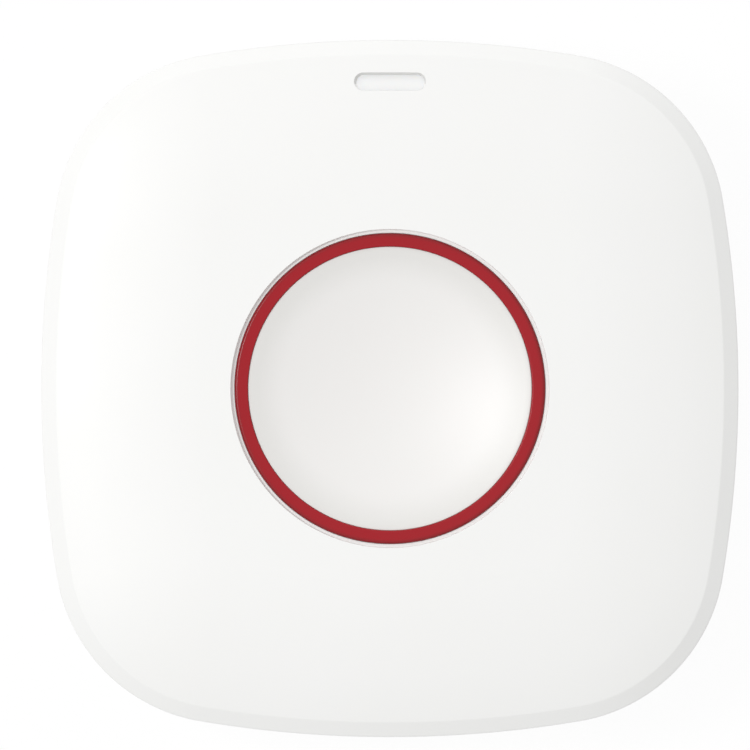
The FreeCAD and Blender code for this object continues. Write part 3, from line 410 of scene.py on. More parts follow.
def arc_points(centre, radius, start_x, end_x, steps):
    """Points along the upper side of an arc, from one x to another, without its last."""
    across = [start_x + (end_x - start_x) * index / steps for index in range(steps)]
    return [(x, centre[1] + math.sqrt(radius ** 2 - (x - centre[0]) ** 2), 0) for x in across]


rounded = softened([(0, 0, 0.3), (5, 0, 0), (5, 5, 0)])
print("A square corner of 0.3 mm becomes", len(rounded) - 2, "points")

# %% [markdown]
# The rail is the outline of the housing seen from the front: four arcs of 105 mm and four of
# 16 mm that meet without a kink. It runs clockwise, so that a section's first number is the
# distance inwards from the wall and its second is the height. The round rail only gives the
# directions, because each point of a turned piece has a radius of its own.

# %% The rails and the loops
SIDE_RADIUS = 105.0
CORNER_RADIUS = 16.0
BACK = SIDE_RADIUS - HALF_WIDTH
CORNER_CENTRE = (math.sqrt(2 * (SIDE_RADIUS - CORNER_RADIUS) ** 2 - BACK ** 2) - BACK) / 2
HALF_SWING = math.atan2(CORNER_CENTRE, CORNER_CENTRE + BACK)
ROUND_STEPS = 192
ROUND_RADIUS = 10


def squircle(side_steps=26, corner_steps=36):
    """The outline's points, clockwise from the middle of the left side."""
    places = []
    for quarter in range(4):
        turn = math.pi - quarter * math.pi / 2
        arcs = []
        for index in range(side_steps):
            angle = HALF_SWING * (1 - 2 * index / side_steps)
            arcs.append((angle, BACK, 0, SIDE_RADIUS))
        for index in range(corner_steps):
            angle = -HALF_SWING - (math.pi / 2 - 2 * HALF_SWING) * index / corner_steps
            arcs.append((angle, -CORNER_CENTRE, CORNER_CENTRE, CORNER_RADIUS))
        for angle, along, aside, radius in arcs:
            x = radius * math.cos(angle) - along
            y = radius * math.sin(angle) - aside
            places.append((x * math.cos(turn) - y * math.sin(turn),
                           x * math.sin(turn) + y * math.cos(turn)))
    return places


def loop(name, points, turned=None):
    """A closed loop of edges in mm, and beside each point the radius it is turned at."""
    mesh = bpy.data.meshes.new(name)
    places = [(x * MM, y * MM, 0) for x, y in points]
    edges = [(index, (index + 1) % len(places)) for index in range(len(places))]
    mesh.from_pydata(places, edges, [])
    if turned:
        radii = mesh.attributes.new("turned_radius", "FLOAT", "POINT")
        radii.data.foreach_set("value", [radius * MM for radius in turned])
    return bpy.data.objects.new(name, mesh)


round_angles = [-index * 2 * math.pi / ROUND_STEPS for index in range(ROUND_STEPS)]
outline_rail = loop("outline_rail", squircle())
circle_rail = loop("circle_rail", [
    (ROUND_RADIUS * math.cos(angle), ROUND_RADIUS * math.sin(angle)) for angle in round_angles])
print("Rail of", len(outline_rail.data.vertices), "points, centre of a corner at",
      round(CORNER_CENTRE, 3), "mm")

# %% [markdown]
# Geometry nodes make the cover, the ring, the cap and the springs, because a rule gives the
# shape of each. All the trees begin and end alike. They have named inputs for their sizes, and
# a modifier finds each one by its identifier. At the end, copies are made real, because the
# export drops them otherwise, and the mesh takes its material.

# %% The start and the end of a tree
def new_tree(name, kinds):
    """A tree with named inputs: the tree, the inputs' identifiers and the node that gives them."""
    tree = bpy.data.node_groups.new(name, "GeometryNodeTree")
    tree.interface.new_socket("Geometry", in_out="INPUT", socket_type="NodeSocketGeometry")
    inputs = {}
    for title, kind in kinds.items():
        socket = tree.interface.new_socket(
            title, in_out="INPUT", socket_type="NodeSocket" + kind)
        inputs[title] = socket.identifier
    tree.interface.new_socket("Geometry", in_out="OUTPUT", socket_type="NodeSocketGeometry")
    return tree, inputs, add_node(tree, "NodeGroupInput")


def end_tree(tree, mesh, given):
    """Makes copies real, coats the mesh with the material that is given, and sends it out."""
    plain = add_node(tree, "GeometryNodeRealizeInstances", {"Geometry": mesh})
    coated = add_node(tree, "GeometryNodeSetMaterial", {
        "Geometry": plain.outputs["Geometry"], "Material": given.outputs["Material"]})
    add_node(tree, "NodeGroupOutput", {"Geometry": coated.outputs["Geometry"]})
    print("Tree", tree.name, "has", len(tree.nodes), "nodes")


# %% [markdown]
# The first tree sweeps the section along the rail. The rail's normals are kept level, so that
# the section doesn't tip in the corners, and the section is turned over first, so that its
# heights point up.

# %% The node tree that leads a section round
led_round, led_inputs, given = new_tree("section_led_round", {
    "Rail": "Object", "Section": "Object", "Material": "Material"})
rail_in = add_node(led_round, "GeometryNodeObjectInfo", {"Object": given.outputs["Rail"]})
section_in = add_node(led_round, "GeometryNodeObjectInfo", {"Object": given.outputs["Section"]})
rail_line = add_node(led_round, "GeometryNodeMeshToCurve", {
    "Mesh": rail_in.outputs["Geometry"]})
upright = add_node(led_round, "GeometryNodeSetCurveNormal", {
    "Curve": rail_line.outputs["Curve"]}, mode="Z_UP")
standing_up = add_node(led_round, "GeometryNodeTransform", {
    "Geometry": section_in.outputs["Geometry"], "Rotation": (math.pi, 0, 0)})
section_line = add_node(led_round, "GeometryNodeMeshToCurve", {
    "Mesh": standing_up.outputs["Geometry"]})
swept = add_node(led_round, "GeometryNodeCurveToMesh", {
    "Curve": upright.outputs["Curve"], "Profile Curve": section_line.outputs["Curve"]})
print("The sweep takes", len(led_round.nodes), "nodes")

# %% [markdown]
# Some of the cover, such as the button's hole and the collar inside, is round and not a
# squircle. There each point of the section carries a turned radius. The tree moves it to that
# distance from the middle and keeps its height, so the flat land between the crown and the hole
# stretches from one shape to the other. A second mesh and a boolean would leave a seam there.
#
# A section led round clockwise has its faces pointing inwards. The tree turns them outwards at
# its end, because a boolean takes the inside of such a shell for its outside, and folds it.
# Before that, it merges the points that meet at the middle of the cap.

# %% The tree's round parts and its end
MERGE_MM = 0.002
turned = add_node(led_round, "GeometryNodeInputNamedAttribute", {
    "Name": "turned_radius"}, data_type="FLOAT")
is_turned = add_node(led_round, "FunctionNodeCompare", {
    "A": turned.outputs["Attribute"], "B": 0.0}, data_type="FLOAT", operation="GREATER_THAN")
where = add_node(led_round, "GeometryNodeInputPosition")
level = add_node(led_round, "ShaderNodeVectorMath", {
    0: where.outputs[0], 1: (1, 1, 0)}, operation="MULTIPLY")
outwards = add_node(led_round, "ShaderNodeVectorMath", {
    0: level.outputs[0]}, operation="NORMALIZE")
on_circle = add_node(led_round, "ShaderNodeVectorMath", {
    0: outwards.outputs[0], "Scale": turned.outputs["Attribute"]}, operation="SCALE")
height = add_node(led_round, "ShaderNodeVectorMath", {
    0: where.outputs[0], 1: (0, 0, 1)}, operation="MULTIPLY")
new_place = add_node(led_round, "ShaderNodeVectorMath", {
    0: on_circle.outputs[0], 1: height.outputs[0]}, operation="ADD")
moved = add_node(led_round, "GeometryNodeSetPosition", {
    "Geometry": swept.outputs["Mesh"], "Selection": is_turned.outputs["Result"],
    "Position": new_place.outputs[0]})
closed = add_node(led_round, "GeometryNodeMergeByDistance", {
    "Geometry": moved.outputs["Geometry"], "Distance": MERGE_MM * MM})
outward = add_node(led_round, "GeometryNodeFlipFaces", {"Mesh": closed.outputs["Geometry"]})
end_tree(led_round, outward.outputs["Mesh"], given)

# %% [markdown]
# A tree only runs on an object, so each piece starts as an empty carrier with the tree as a
# modifier. The evaluated result is copied into a plain mesh, its faces are turned outwards,
# and edges sharper than a fillet's steps are kept crisp.

# %% From a tree to a plain piece
def carrier(name):
    """An empty mesh object in the scene that a tree can run on."""
    made = bpy.data.objects.new(name, bpy.data.meshes.new(name))
    bpy.context.scene.collection.objects.link(made)
    return made


def use_tree(made, tree, inputs, values):
    """Adds a node tree to an object, with its inputs set by their identifiers."""
    modifier = made.modifiers.new(tree.name, "NODES")
    modifier.node_group = tree
    for name, value in values.items():
        modifier[inputs[name]] = value


def finished_piece(made, name, crisp_degrees=26):
    """A plain mesh piece from a carrier's evaluated result."""
    graph = bpy.context.evaluated_depsgraph_get()
    mesh = bpy.data.meshes.new_from_object(made.evaluated_get(graph))
    mesh.name = name
    bpy.data.objects.remove(made)
    faces = bmesh.new()
    faces.from_mesh(mesh)
    loose = [edge for edge in faces.edges if not edge.link_faces]
    bmesh.ops.delete(faces, geom=loose, context="EDGES")
    bmesh.ops.recalc_face_normals(faces, faces=faces.faces)
    for face in faces.faces:
        face.smooth = True
    open_edges = sum(not edge.is_manifold for edge in faces.edges)
    volume = faces.calc_volume(signed=True) / MM ** 3
    faces.to_mesh(mesh)
    faces.free()
    mesh.set_sharp_from_angle(angle=math.radians(crisp_degrees))
    piece = bpy.data.objects.new(name, mesh)
    bpy.context.scene.collection.objects.link(piece)
    print(name, "has", len(mesh.polygons), "faces,", open_edges, "open edges,",
          round(volume), "cubic mm")
    return piece


# %% [markdown]
# The face is flat in its middle. Towards the edge it falls over a wide arc, the crown, and then
# over a tighter one, the shoulder. The centre of the second lies on the line from the first
# one's centre to the place where they meet, so they meet without a kink, and the shine runs
# over them unbroken. A subdivided mesh could only be pulled near to that.

# %% The arcs of the face
CROWN_RADIUS = 67.5
CROWN_START = HALF_WIDTH - 15
SHOULDER_RADIUS = 33
SHOULDER_START = HALF_WIDTH - 5.6
SHOULDER_END = HALF_WIDTH - 1.38
crown_centre = (CROWN_START, FACE_TOP - CROWN_RADIUS)
lean = (SHOULDER_START - CROWN_START) / CROWN_RADIUS
shoulder_centre = (
    crown_centre[0] + (CROWN_RADIUS - SHOULDER_RADIUS) * lean,
    crown_centre[1] + (CROWN_RADIUS - SHOULDER_RADIUS) * math.sqrt(1 - lean ** 2))


def shoulder_height(distance):
    """Height of the face on its shoulder, at a distance from the middle."""
    return shoulder_centre[1] + math.sqrt(
        SHOULDER_RADIUS ** 2 - (distance - shoulder_centre[0]) ** 2)


bevel_top = shoulder_height(SHOULDER_END)
face_line = arc_points(crown_centre, CROWN_RADIUS, CROWN_START, SHOULDER_START, 16)
face_line += arc_points(shoulder_centre, SHOULDER_RADIUS, SHOULDER_START, SHOULDER_END, 26)
print("The face falls by", round(FACE_TOP - bevel_top, 2), "mm before its bevel")

# %% [markdown]
# The cover's section goes from the flat middle of the face over the arcs to the bevel, down the
# wall, and back along the inside. The bevel meets the face in a clear crease that is only
# slightly rounded, which draws the fine line all round the real housing.
#
# Round the button the face steps down to a narrow ledge, and the hole goes on from its inner
# edge. On the side of the light the step throws its shadow on the ledge, and on the far side
# the ledge is bright, so the ring is set off by a thin line that fades out, as on the real one.

# %% The front cover's section
WALL = 1.8
CEILING = FACE_TOP - WALL
BEVEL_HEIGHT = 1.05
EAVE_DROP = 1.4
EAVE_WIDTH = 3.9
COLLAR_OUTSIDE = 17.15
COLLAR_INSIDE = 15.95
COLLAR_FOOT = CEILING - 3.3
HOLE = 14.24
MOUTH = HOLE + 0.31
MOUTH_DRAFT = 0.03
LEDGE = FACE_TOP - 0.5
outer = [
    (SHOULDER_END, bevel_top, 0.3),
    (HALF_WIDTH, bevel_top - BEVEL_HEIGHT, 0.35),
    (HALF_WIDTH, SPLIT, 0.15),
    (HALF_WIDTH - WALL, SPLIT, 0.15),
    (HALF_WIDTH - WALL, CEILING - EAVE_DROP, 0),
    (HALF_WIDTH - WALL - EAVE_WIDTH, CEILING, 0),
]
round_part = [
    (COLLAR_OUTSIDE, CEILING, 0),
    (COLLAR_OUTSIDE, COLLAR_FOOT, 0.1),
    (COLLAR_INSIDE, COLLAR_FOOT, 0.1),
    (COLLAR_INSIDE, CEILING, 0),
    (HOLE, CEILING, 0),
    (HOLE, LEDGE, 0.04),
    (MOUTH, LEDGE, 0),
    (MOUTH + MOUTH_DRAFT, FACE_TOP, 0.05),
]
# Two helping corners close each half while its corners are softened, and are then left out.
wall_points = softened(face_line + outer + [(0, CEILING, 0), (0, FACE_TOP, 0)])[:-2]
hole_points = softened(
    round_part + [(CROWN_START, FACE_TOP, 0), (CROWN_START, CEILING, 0)])[:-2]
section = [(HALF_WIDTH - x, z) for x, z in wall_points] + [(0, z) for r, z in hole_points]
radii = [0] * len(wall_points) + [r for r, z in hole_points]
cover_section = loop("cover_section", section, radii)
print("Bevel's lower edge at", round(bevel_top - BEVEL_HEIGHT, 2), "mm, section of",
      len(section), "points")

# %% [markdown]
# Inside, screw bosses hang from the ceiling: four at the corners for the housing, three for the
# ears of the button's retainer and three for the board. They differ only in their sizes and
# places, so one tree with named inputs stands a drilled boss on every point it is given.

# %% The node tree that adds drilled bosses
bosses, boss_inputs, given = new_tree("drilled_bosses", {
    "Places": "Object", "Radius": "Float", "Length": "Float", "Pilot Radius": "Float",
    "Pilot Depth": "Float", "Material": "Material"})
places_in = add_node(bosses, "GeometryNodeObjectInfo", {"Object": given.outputs["Places"]})
feet = add_node(bosses, "GeometryNodeMeshToPoints", {"Mesh": places_in.outputs["Geometry"]})

# A boss stands on its foot. Its pilot hole is centred there and twice as long as it is deep.
standing = {}
for part, radius, depth, stretch, rise in (
        ("boss", "Radius", "Length", 1.0, 0.5), ("pilot", "Pilot Radius", "Pilot Depth", 2.0, 0.0)):
    tall = add_node(bosses, "ShaderNodeMath", {
        0: given.outputs[depth], 1: stretch}, operation="MULTIPLY")
    column = add_node(bosses, "GeometryNodeMeshCylinder", {
        "Vertices": 32, "Radius": given.outputs[radius], "Depth": tall.outputs[0]})
    raise_by = add_node(bosses, "ShaderNodeMath", {
        0: given.outputs["Length"], 1: rise}, operation="MULTIPLY")
    lift = add_node(bosses, "ShaderNodeCombineXYZ", {"Z": raise_by.outputs[0]})
    lifted = add_node(bosses, "GeometryNodeTransform", {
        "Geometry": column.outputs["Mesh"], "Translation": lift.outputs[0]})
    copies = add_node(bosses, "GeometryNodeInstanceOnPoints", {
        "Points": feet.outputs["Points"], "Instance": lifted.outputs["Geometry"]})
    standing[part] = add_node(bosses, "GeometryNodeRealizeInstances", {
        "Geometry": copies.outputs["Instances"]})
joined = add_node(bosses, "GeometryNodeMeshBoolean", {
    "Mesh 2": standing["boss"].outputs["Geometry"]}, operation="UNION", solver="MANIFOLD")
bosses.links.new(given.outputs["Geometry"], joined.inputs["Mesh 2"])
drilled = add_node(bosses, "GeometryNodeMeshBoolean", {
    "Mesh 1": joined.outputs["Mesh"], "Mesh 2": standing["pilot"].outputs["Geometry"]},
    operation="DIFFERENCE", solver="MANIFOLD")
end_tree(bosses, drilled.outputs["Mesh"], given)

# %% [markdown]
# The bosses' places and sizes are those of the CAD model, in millimetres. The corner ones take
# the long housing screws. The others take small screws, and only reach as far as they need.

# %% Places and sizes of the bosses
def foot_points(name, places, height):
    """A mesh with only points, in mm, for a tree to stand things on."""
    mesh = bpy.data.meshes.new(name)
    mesh.from_pydata([(x * MM, y * MM, height * MM) for x, y in places], [], [])
    return bpy.data.objects.new(name, mesh)


def around(radius, degrees):
    """Places at one radius, at the given angles."""
    return [(radius * math.cos(math.radians(angle)), radius * math.sin(math.radians(angle)))
            for angle in degrees]


BOSS_TOP = CEILING + 0.3
HOUSING_PLACE = 21.91
EAR_PLACE = 19.95
POST_PLACE = 25
# Each row: name, places, height of the foot, radius, radius and depth of the pilot hole
boss_rows = [
    ("housing_bosses",
     [(x, y) for x in (-HOUSING_PLACE, HOUSING_PLACE) for y in (-HOUSING_PLACE, HOUSING_PLACE)],
     6.6, 2.6, 1.15, 4.8),
    ("ear_bosses", around(EAR_PLACE, (90, 210, 330)), COLLAR_FOOT, 2.0, 0.85, 2.9),
    ("board_posts", [(POST_PLACE, 0), (-POST_PLACE, 0), (0, -POST_PLACE)], 10.6, 2.0, 0.85, 2.9),
]
print("Bosses:", sum(len(row[1]) for row in boss_rows))

# %% [markdown]
# Behind the face there are straight pieces too: the ribs, a block round the window, and the
# solid that cuts the window's slot. All are flat outlines raised to a height. One helper lays an
# outline, and another closes the solid between outlines that lie over one another. Faces that
# are written directly keep the corners exact, as the booleans need.

# %% Outlines that lie over one another
WINDOW_Y = HALF_WIDTH - 3.88


def stadium(length, width, steps=14, shift=(0, 0)):
    """The outline of a slot with round ends, clockwise, about the window's centre."""
    straight = (length - width) / 2
    points = []
    for side in (1, -1):
        for index in range(steps + 1):
            angle = side * (math.pi / 2 - math.pi * index / steps)
            points.append((shift[0] + side * straight + width / 2 * side * abs(math.cos(angle)),
                           shift[1] + WINDOW_Y + width / 2 * math.sin(angle)))
    return points


def laid(outline, height, fall=0.0):
    """An outline at a height in mm, falling towards the upper edge from the window's middle."""
    return [Vector((x, y, height - fall * (y - WINDOW_Y))) * MM for x, y in outline]


def stacked(name, levels):
    """A closed solid between outlines that are laid one over the other."""
    made = bmesh.new()
    rings = [[made.verts.new(place) for place in level] for level in levels]
    for low, high in zip(rings, rings[1:]):
        for index in range(len(low)):
            after = (index + 1) % len(low)
            made.faces.new((low[index], low[after], high[after], high[index]))
    made.faces.new(rings[0])
    made.faces.new(rings[-1])
    bmesh.ops.recalc_face_normals(made, faces=made.faces)
    mesh = bpy.data.meshes.new(name)
    made.to_mesh(mesh)
    made.free()
    return bpy.data.objects.new(name, mesh)


print("A slot's outline has", len(stadium(2, 1)), "points")

# %% [markdown]
# Four thin ribs tie the corner bosses to the collar, so that the face doesn't bend under a
# press, and a small block frames the window. A thicker face would be stiff as well, but it
# would sink where it cools, so a moulder takes ribs.

# %% Ribs and the window's block
WINDOW_LENGTH = 6.6
WINDOW_WIDTH = 1.7
BLOCK_BORDER = 2.6
BLOCK_DROP = 1.6
BLOCK_SINK = 0.2
RIB_START = 16.55
RIB_END = 29.69
RIB_HALF = 0.45
RIB_DROP = 1.8
around_window = stadium(WINDOW_LENGTH + BLOCK_BORDER, WINDOW_WIDTH + BLOCK_BORDER)
extras = [stacked("window_block", [
    laid(around_window, CEILING - BLOCK_DROP), laid(around_window, CEILING + BLOCK_SINK)])]
rib = [(RIB_START, -RIB_HALF), (RIB_END, -RIB_HALF), (RIB_END, RIB_HALF), (RIB_START, RIB_HALF)]
for quarter in range(4):
    turn = math.radians(45 + 90 * quarter)
    corners = [(x * math.cos(turn) - y * math.sin(turn), x * math.sin(turn) + y * math.cos(turn))
               for x, y in rib]
    extras.append(stacked("rib_%d" % quarter, [
        laid(corners, CEILING - RIB_DROP), laid(corners, BOSS_TOP)]))
for extra in extras:
    extra.data.materials.append(white_abs)
print("Extras:", [extra.name for extra in extras])

# %% [markdown]
# The window is a slot that breaks through the sloping shoulder, with the light pipe's frosted
# head as its floor. On the real one the floor is almost level with the face at the lower edge
# and half a millimetre below it at the upper edge, so the slot is drawn by a shadow along its
# top and its left end, and fades out at the other sides.
#
# One solid cuts the slot: room for the light pipe below, then the slot's foot on the sloped
# floor and its mouth on the sloped face. The foot is narrower than the mouth, more so at the
# left and at the top, where the wall leans back and catches less light. The wall there takes
# the coarse grain and a greyer tone that is painted shade, and the shallow one below doesn't.
# The slopes are carried on beyond the face, so that the cut breaks through cleanly.

# %% The slot's cutter
SHALLOW = 0.12
DEEP = 0.5
PIPE_ROOM = 0.16
OVERLAP = 0.03
WIDE_LEAN = 0.24
SLIGHT_LEAN = 0.07
BEYOND = 1.6
BELOW = 3
lower_face = shoulder_height(WINDOW_Y - WINDOW_WIDTH / 2)
upper_face = shoulder_height(WINDOW_Y + WINDOW_WIDTH / 2)
FACE_FALL = (lower_face - upper_face) / WINDOW_WIDTH
FLOOR_FALL = (lower_face - SHALLOW - upper_face + DEEP) / WINDOW_WIDTH
face_height = (lower_face + upper_face) / 2
floor_height = (lower_face - SHALLOW + upper_face - DEEP) / 2
round_pipe = stadium(WINDOW_LENGTH, WINDOW_WIDTH + PIPE_ROOM)
uneven = (WIDE_LEAN - SLIGHT_LEAN) / 2
narrow = stadium(WINDOW_LENGTH - WIDE_LEAN - SLIGHT_LEAN, WINDOW_WIDTH - WIDE_LEAN - SLIGHT_LEAN,
                 shift=(uneven, -uneven))
foot = laid(narrow, floor_height - OVERLAP, FLOOR_FALL)
mouth = laid(stadium(WINDOW_LENGTH, WINDOW_WIDTH), face_height, FACE_FALL)
slot_cutter = stacked("slot_cutter", [
    laid(round_pipe, CEILING - BELOW),
    laid(round_pipe, floor_height - OVERLAP, FLOOR_FALL),
    foot,
    [low + (high - low) * BEYOND for low, high in zip(foot, mouth)],
])
slot_cutter.data.materials.append(slot_wall_painted_shade)
slot_cutter.data.materials.append(white_abs)
# The cutter's faces towards the lower edge leave the shallow wall, which stays white; the
# others take the grey painted shade.
for face in slot_cutter.data.polygons:
    face.material_index = 1 if face.normal.y < -0.3 else 0
print("Face at the window", round(face_height, 2), "mm, falls", round(FACE_FALL, 3),
      "and the floor", round(FLOOR_FALL, 3))

# %% [markdown]
# The cover's carrier runs the sweep, then the bosses three times with different sizes, and
# then the ribs, the block and the slot. A boolean fits here, because the slot's soft mouth has
# to follow the slope of the shoulder that it breaks through. The result stands in for the CAD
# cover, which stays in the model for contact, and rides on the same body.

# %% Make the front cover
cover = carrier("cover_carrier")
use_tree(cover, led_round, led_inputs, {
    "Rail": outline_rail, "Section": cover_section, "Material": white_abs})
for name, places, foot_height, radius, pilot, depth in boss_rows:
    use_tree(cover, bosses, boss_inputs, {
        "Places": foot_points(name, places, foot_height), "Radius": radius * MM,
        "Length": (BOSS_TOP - foot_height) * MM, "Pilot Radius": pilot * MM,
        "Pilot Depth": depth * MM, "Material": white_abs})
for other, action in [(extra, "UNION") for extra in extras] + [(slot_cutter, "DIFFERENCE")]:
    joint = cover.modifiers.new(other.name, "BOOLEAN")
    joint.object = other
    joint.operation = action
    joint.material_mode = "TRANSFER"
    joint.solver = "MANIFOLD"
moulded_cover = finished_piece(cover, "moulded_front_cover")
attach(moulded_cover, "housing")
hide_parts("front_cover")

# %% [markdown]
# The ring and the cap are turned shapes, so the same tree makes them on a round rail with every
# point of the section turned. The ring's top slopes a little towards the cap, and its flange
# stops against the ceiling. The cap snaps into the ring with a bead.

# %% The ring
# A radius of nought would read as not turned, so a point in the middle keeps a trace of one.
POLE = 0.000001


def turned_piece(name, corners, finish):
    """A piece turned about the middle from corners of radius, height and edge radius."""
    points = softened(corners)
    turned_radii = [max(r, POLE) for r, z in points]
    section = loop(name + "_section", [(0, z) for r, z in points], turned_radii)
    made = carrier(name + "_carrier")
    use_tree(made, led_round, led_inputs, {
        "Rail": circle_rail, "Section": section, "Material": finish})
    return finished_piece(made, name)


ring_low, ring_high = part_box("button_ring")
RING_TOP = ring_high.z / MM
RING_OUTSIDE = 14.22
RING_INSIDE = 13.0
RING_BORE = 11.9
FLANGE_REACH = ring_high.x / MM
FLANGE_LOW = ring_low.z / MM
FLANGE_HIGH = FLANGE_LOW + 1
CAP_SEAT = FLANGE_LOW + 0.6
red_ring = turned_piece("button_ring_gloss", [
    (RING_BORE, FLANGE_LOW, 0),
    (FLANGE_REACH, FLANGE_LOW, 0.1),
    (FLANGE_REACH, FLANGE_HIGH, 0.1),
    (RING_OUTSIDE, FLANGE_HIGH, 0),
    (RING_OUTSIDE, RING_TOP, 0.25),
    (RING_INSIDE, RING_TOP - 0.05, 0.12),
    (RING_INSIDE, CAP_SEAT, 0),
    (RING_BORE, CAP_SEAT, 0),
], red_abs)
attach(red_ring, "button")
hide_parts("button_ring")

# %% [markdown]
# The cap is a shallow dish that a fingertip finds in the dark. Its curve is one arc, from the
# middle to a narrow lip, and an arc is drawn by its own rule rather than by smoothing corners.
# Below it, the skirt reaches down inside the ring and ends in the bead that snaps in.

# %% The cap
CAP_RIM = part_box("button_cap")[1].z / MM
CAP_REACH = 12.98
DISH_REACH = CAP_REACH - 0.15
DISH_DEPTH = 2.1
DISH_STEPS = 18
DISH_FLOOR = CAP_RIM - DISH_DEPTH
DISH_UNDER = DISH_FLOOR - 1.1
SKIRT_OUTSIDE = 11.84
SKIRT_INSIDE = 10.89
BEAD = 12.09
BEAD_TOP = FLANGE_LOW - 0.06
BEAD_MIDDLE = FLANGE_LOW - 0.65
SKIRT_FOOT = FLANGE_LOW - 0.9
dish_radius = (DISH_REACH ** 2 / DISH_DEPTH + DISH_DEPTH) / 2
dish = []
for index in range(DISH_STEPS + 1):
    r = DISH_REACH * index / DISH_STEPS
    dish.append((r, DISH_FLOOR + dish_radius - math.sqrt(dish_radius ** 2 - r ** 2), 0))
dished_cap = turned_piece("button_cap_dished", dish + [
    (CAP_REACH, CAP_RIM, 0.03),
    (CAP_REACH, CAP_SEAT, 0),
    (SKIRT_OUTSIDE, CAP_SEAT, 0),
    (SKIRT_OUTSIDE, BEAD_TOP, 0),
    (BEAD, BEAD_MIDDLE, 0),
    (SKIRT_OUTSIDE, SKIRT_FOOT, 0),
    (SKIRT_INSIDE, SKIRT_FOOT, 0),
    (SKIRT_INSIDE, DISH_UNDER, 0),
    (0, DISH_UNDER, 0),
], cap_abs)
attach(dished_cap, "button")
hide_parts("button_cap")

# %% [markdown]
# Three return springs under the ring lift the button. They are coiled from round wire: a spiral
# is the path, and a small circle led along it is the wire. A Screw modifier could wind a circle
# too, but a tree takes each spring's place and size as inputs, so one serves all three.

# %% The node tree that coils a spring
coil, coil_inputs, given = new_tree("coiled_wire", {
    "Foot": "Vector", "Radius": "Float", "Height": "Float", "Turns": "Float",
    "Wire Radius": "Float", "Material": "Material"})
path = add_node(coil, "GeometryNodeCurveSpiral", {
    "Resolution": 40, "Rotations": given.outputs["Turns"],
    "Start Radius": given.outputs["Radius"], "End Radius": given.outputs["Radius"],
    "Height": given.outputs["Height"]})
placed = add_node(coil, "GeometryNodeTransform", {
    "Geometry": path.outputs["Curve"], "Translation": given.outputs["Foot"]})
wire_round = add_node(coil, "GeometryNodeCurvePrimitiveCircle", {
    "Resolution": 14, "Radius": given.outputs["Wire Radius"]})
wire = add_node(coil, "GeometryNodeCurveToMesh", {
    "Curve": placed.outputs["Geometry"], "Profile Curve": wire_round.outputs["Curve"],
    "Fill Caps": True})
end_tree(coil, wire.outputs["Mesh"], given)

# %% [markdown]
# Each spring fills the box of the CAD spring that it replaces, so its place and its height
# come from the frame.

# %% The return springs
WIRE_RADIUS = 0.15
SPRING_TURNS = 3.0
for number in (1, 2, 3):
    node = "return_spring_%d" % number
    low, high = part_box(node)
    middle = (low + high) / 2
    tall = high.z - low.z
    spring = carrier(node + "_carrier")
    use_tree(spring, coil, coil_inputs, {
        "Foot": (middle.x, middle.y, low.z + WIRE_RADIUS * MM),
        "Radius": (high.x - low.x) / 2 - WIRE_RADIUS * MM,
        "Height": tall - 2 * WIRE_RADIUS * MM, "Turns": SPRING_TURNS,
        "Wire Radius": WIRE_RADIUS * MM, "Material": spring_wire})
    coiled = finished_piece(spring, "coiled_spring_%d" % number, crisp_degrees=60)
    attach(coiled, "housing")
    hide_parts(node)
    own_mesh(coiled)

# %% [markdown]
# The photograph has a pure white background and no visible shadow. Lighting a floor until it
# is white would also burn out the white housing. So the floor glows only where the camera, a
# mirror or glass looks at it, and for all other light it is plain matt white that takes a
# little shadow and gives light back to the housing from below. It lies a hair's breadth under
# the housing, so that the two flat faces don't fight for the same place.

# %% The floor
FLOOR_HALF = 1500 * MM
FLOOR_HEIGHT = -0.05 * MM
GLOW_SHARE = 0.94


def looked_at(tree):
    """One where the camera, a mirror or glass looks at a surface, and nought for other light."""
    seen = add_node(tree, "ShaderNodeLightPath")
    straight = add_node(tree, "ShaderNodeMath", {
        0: seen.outputs["Is Camera Ray"], 1: seen.outputs["Is Glossy Ray"]},
        operation="MAXIMUM")
    any_view = add_node(tree, "ShaderNodeMath", {
        0: straight.outputs[0], 1: seen.outputs["Is Transmission Ray"]}, operation="MAXIMUM")
    return any_view.outputs[0]


floor_material, tree, output, place = new_material("pale_floor")
share = add_node(tree, "ShaderNodeMath", {
    0: looked_at(tree), 1: GLOW_SHARE}, operation="MULTIPLY")
matt = add_node(tree, "ShaderNodeBsdfDiffuse", {"Color": colour("FFFFFF")})
glow = add_node(tree, "ShaderNodeEmission", {"Color": colour("FFFFFF"), "Strength": 1.0})
mixed = add_node(tree, "ShaderNodeMixShader", {
    0: share.outputs[0], 1: matt.outputs[0], 2: glow.outputs[0]})
tree.links.new(mixed.outputs[0], output.inputs["Surface"])

floor_mesh = bpy.data.meshes.new("floor")
floor_mesh.from_pydata(
    [(x * FLOOR_HALF, y * FLOOR_HALF, FLOOR_HEIGHT)
     for x, y in ((-1, -1), (1, -1), (1, 1), (-1, 1))], [], [(0, 1, 2, 3)])
floor_mesh.materials.append(floor_material)
floor = bpy.data.objects.new("floor", floor_mesh)
bpy.context.scene.collection.objects.link(floor)
print("Floor of", round(2 * FLOOR_HALF, 1), "m, glowing by", GLOW_SHARE)

# %% [markdown]
# The world is the room: an even soft light from everywhere, which leaves the bevel on the
# shaded side only a little darker than the face. It is plain white wherever it is seen.

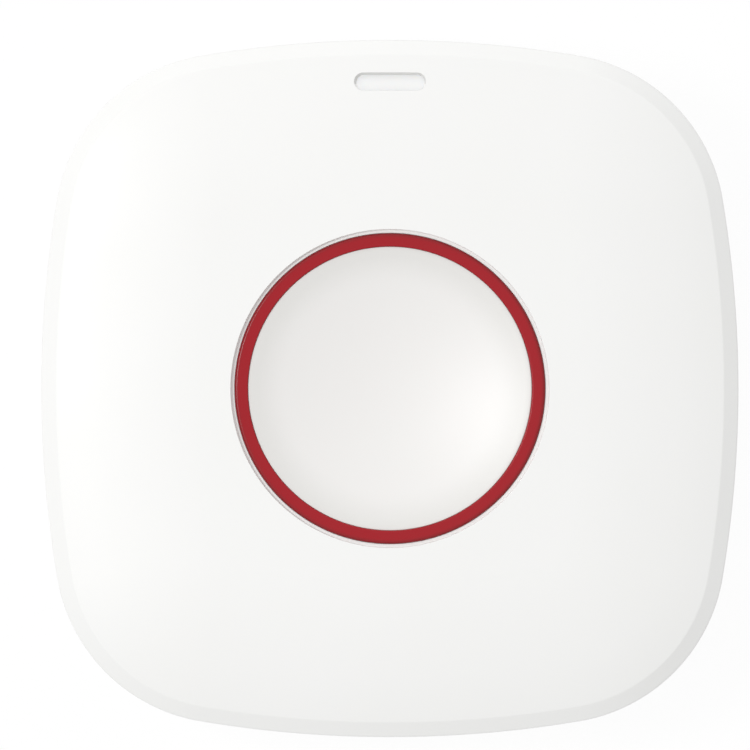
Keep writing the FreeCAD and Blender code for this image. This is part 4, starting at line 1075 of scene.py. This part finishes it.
# %% The world
AMBIENT = 0.66
world = bpy.data.worlds.new("studio")
world.use_nodes = True
bpy.context.scene.world = world
tree = world.node_tree
tree.nodes.clear()
strength = add_node(tree, "ShaderNodeMapRange", {
    "Value": looked_at(tree), "To Min": AMBIENT, "To Max": 1.0})
sky = add_node(tree, "ShaderNodeBackground", {
    "Color": colour("FFFFFF"), "Strength": strength.outputs["Result"]})
add_node(tree, "ShaderNodeOutputWorld", {"Surface": sky.outputs[0]})
print("World lights the part at", AMBIENT)

# %% [markdown]
# Two soft boxes shape the housing. Most of their light comes from high on the left and a little
# from above: the left of the crown is brightest, the dish of the cap is darkest on its left,
# and the bevel on the right is the darkest of all. A weaker one, low beyond the top edge, lights
# the upper bevel and leaves the lower one grey. Both are kept so low that the white face stays
# just under pure white.

# %% The lamps
def soft_lamp(name, place_mm, size_mm, power):
    """A square soft box that faces the middle of the part."""
    light = bpy.data.lights.new(name, "AREA")
    light.shape = "SQUARE"
    light.size = size_mm * MM
    light.energy = power
    lamp = bpy.data.objects.new(name, light)
    lamp.location = Vector(place_mm) * MM
    facing = Vector((0, 0, FACE_TOP)) * MM - lamp.location
    lamp.rotation_euler = facing.to_track_quat("-Z", "Y").to_euler()
    bpy.context.scene.collection.objects.link(lamp)
    return lamp


key = soft_lamp("key_high_on_the_left", place_mm=(-322, 68, 636), size_mm=200, power=1.78)
edge = soft_lamp("low_from_the_top", place_mm=(0, 564, 223), size_mm=300, power=0.405)
print("Lamps:", [(lamp.name, round(lamp.data.energy, 3)) for lamp in (key, edge)])

# %% [markdown]
# The camera looks straight down at the face from far away, so the sides stay hidden. Its place
# and lens follow from two measures of the photograph: the pixel at the middle of the housing,
# and how many pixels half its width is. The lens is set for the height at which the outline is
# widest, a little below the face.

# %% The camera
FRAME_PIXELS = 750
CENTRE_PIXEL = (389.9, 388.5)
HALF_WIDTH_PIXELS = 348.5
CAMERA_HEIGHT = 900 * MM
WIDEST_HEIGHT = 15 * MM
SENSOR = 36
camera_data = bpy.data.cameras.new("camera")
camera = bpy.data.objects.new("camera", camera_data)
bpy.context.scene.collection.objects.link(camera)
bpy.context.scene.camera = camera
pixel = HALF_WIDTH * MM / HALF_WIDTH_PIXELS
camera.location = (
    (FRAME_PIXELS / 2 - CENTRE_PIXEL[0]) * pixel,
    (CENTRE_PIXEL[1] - FRAME_PIXELS / 2) * pixel,
    CAMERA_HEIGHT,
)
camera_data.sensor_width = SENSOR
camera_data.lens = SENSOR * (CAMERA_HEIGHT - WIDEST_HEIGHT) / (FRAME_PIXELS * pixel)
camera_data.clip_start = 0.01
camera_data.clip_end = 10
bpy.context.scene.view_settings.view_transform = "Standard"
print("Lens of", round(camera_data.lens), "mm,", round(pixel / MM, 4), "mm to a pixel")
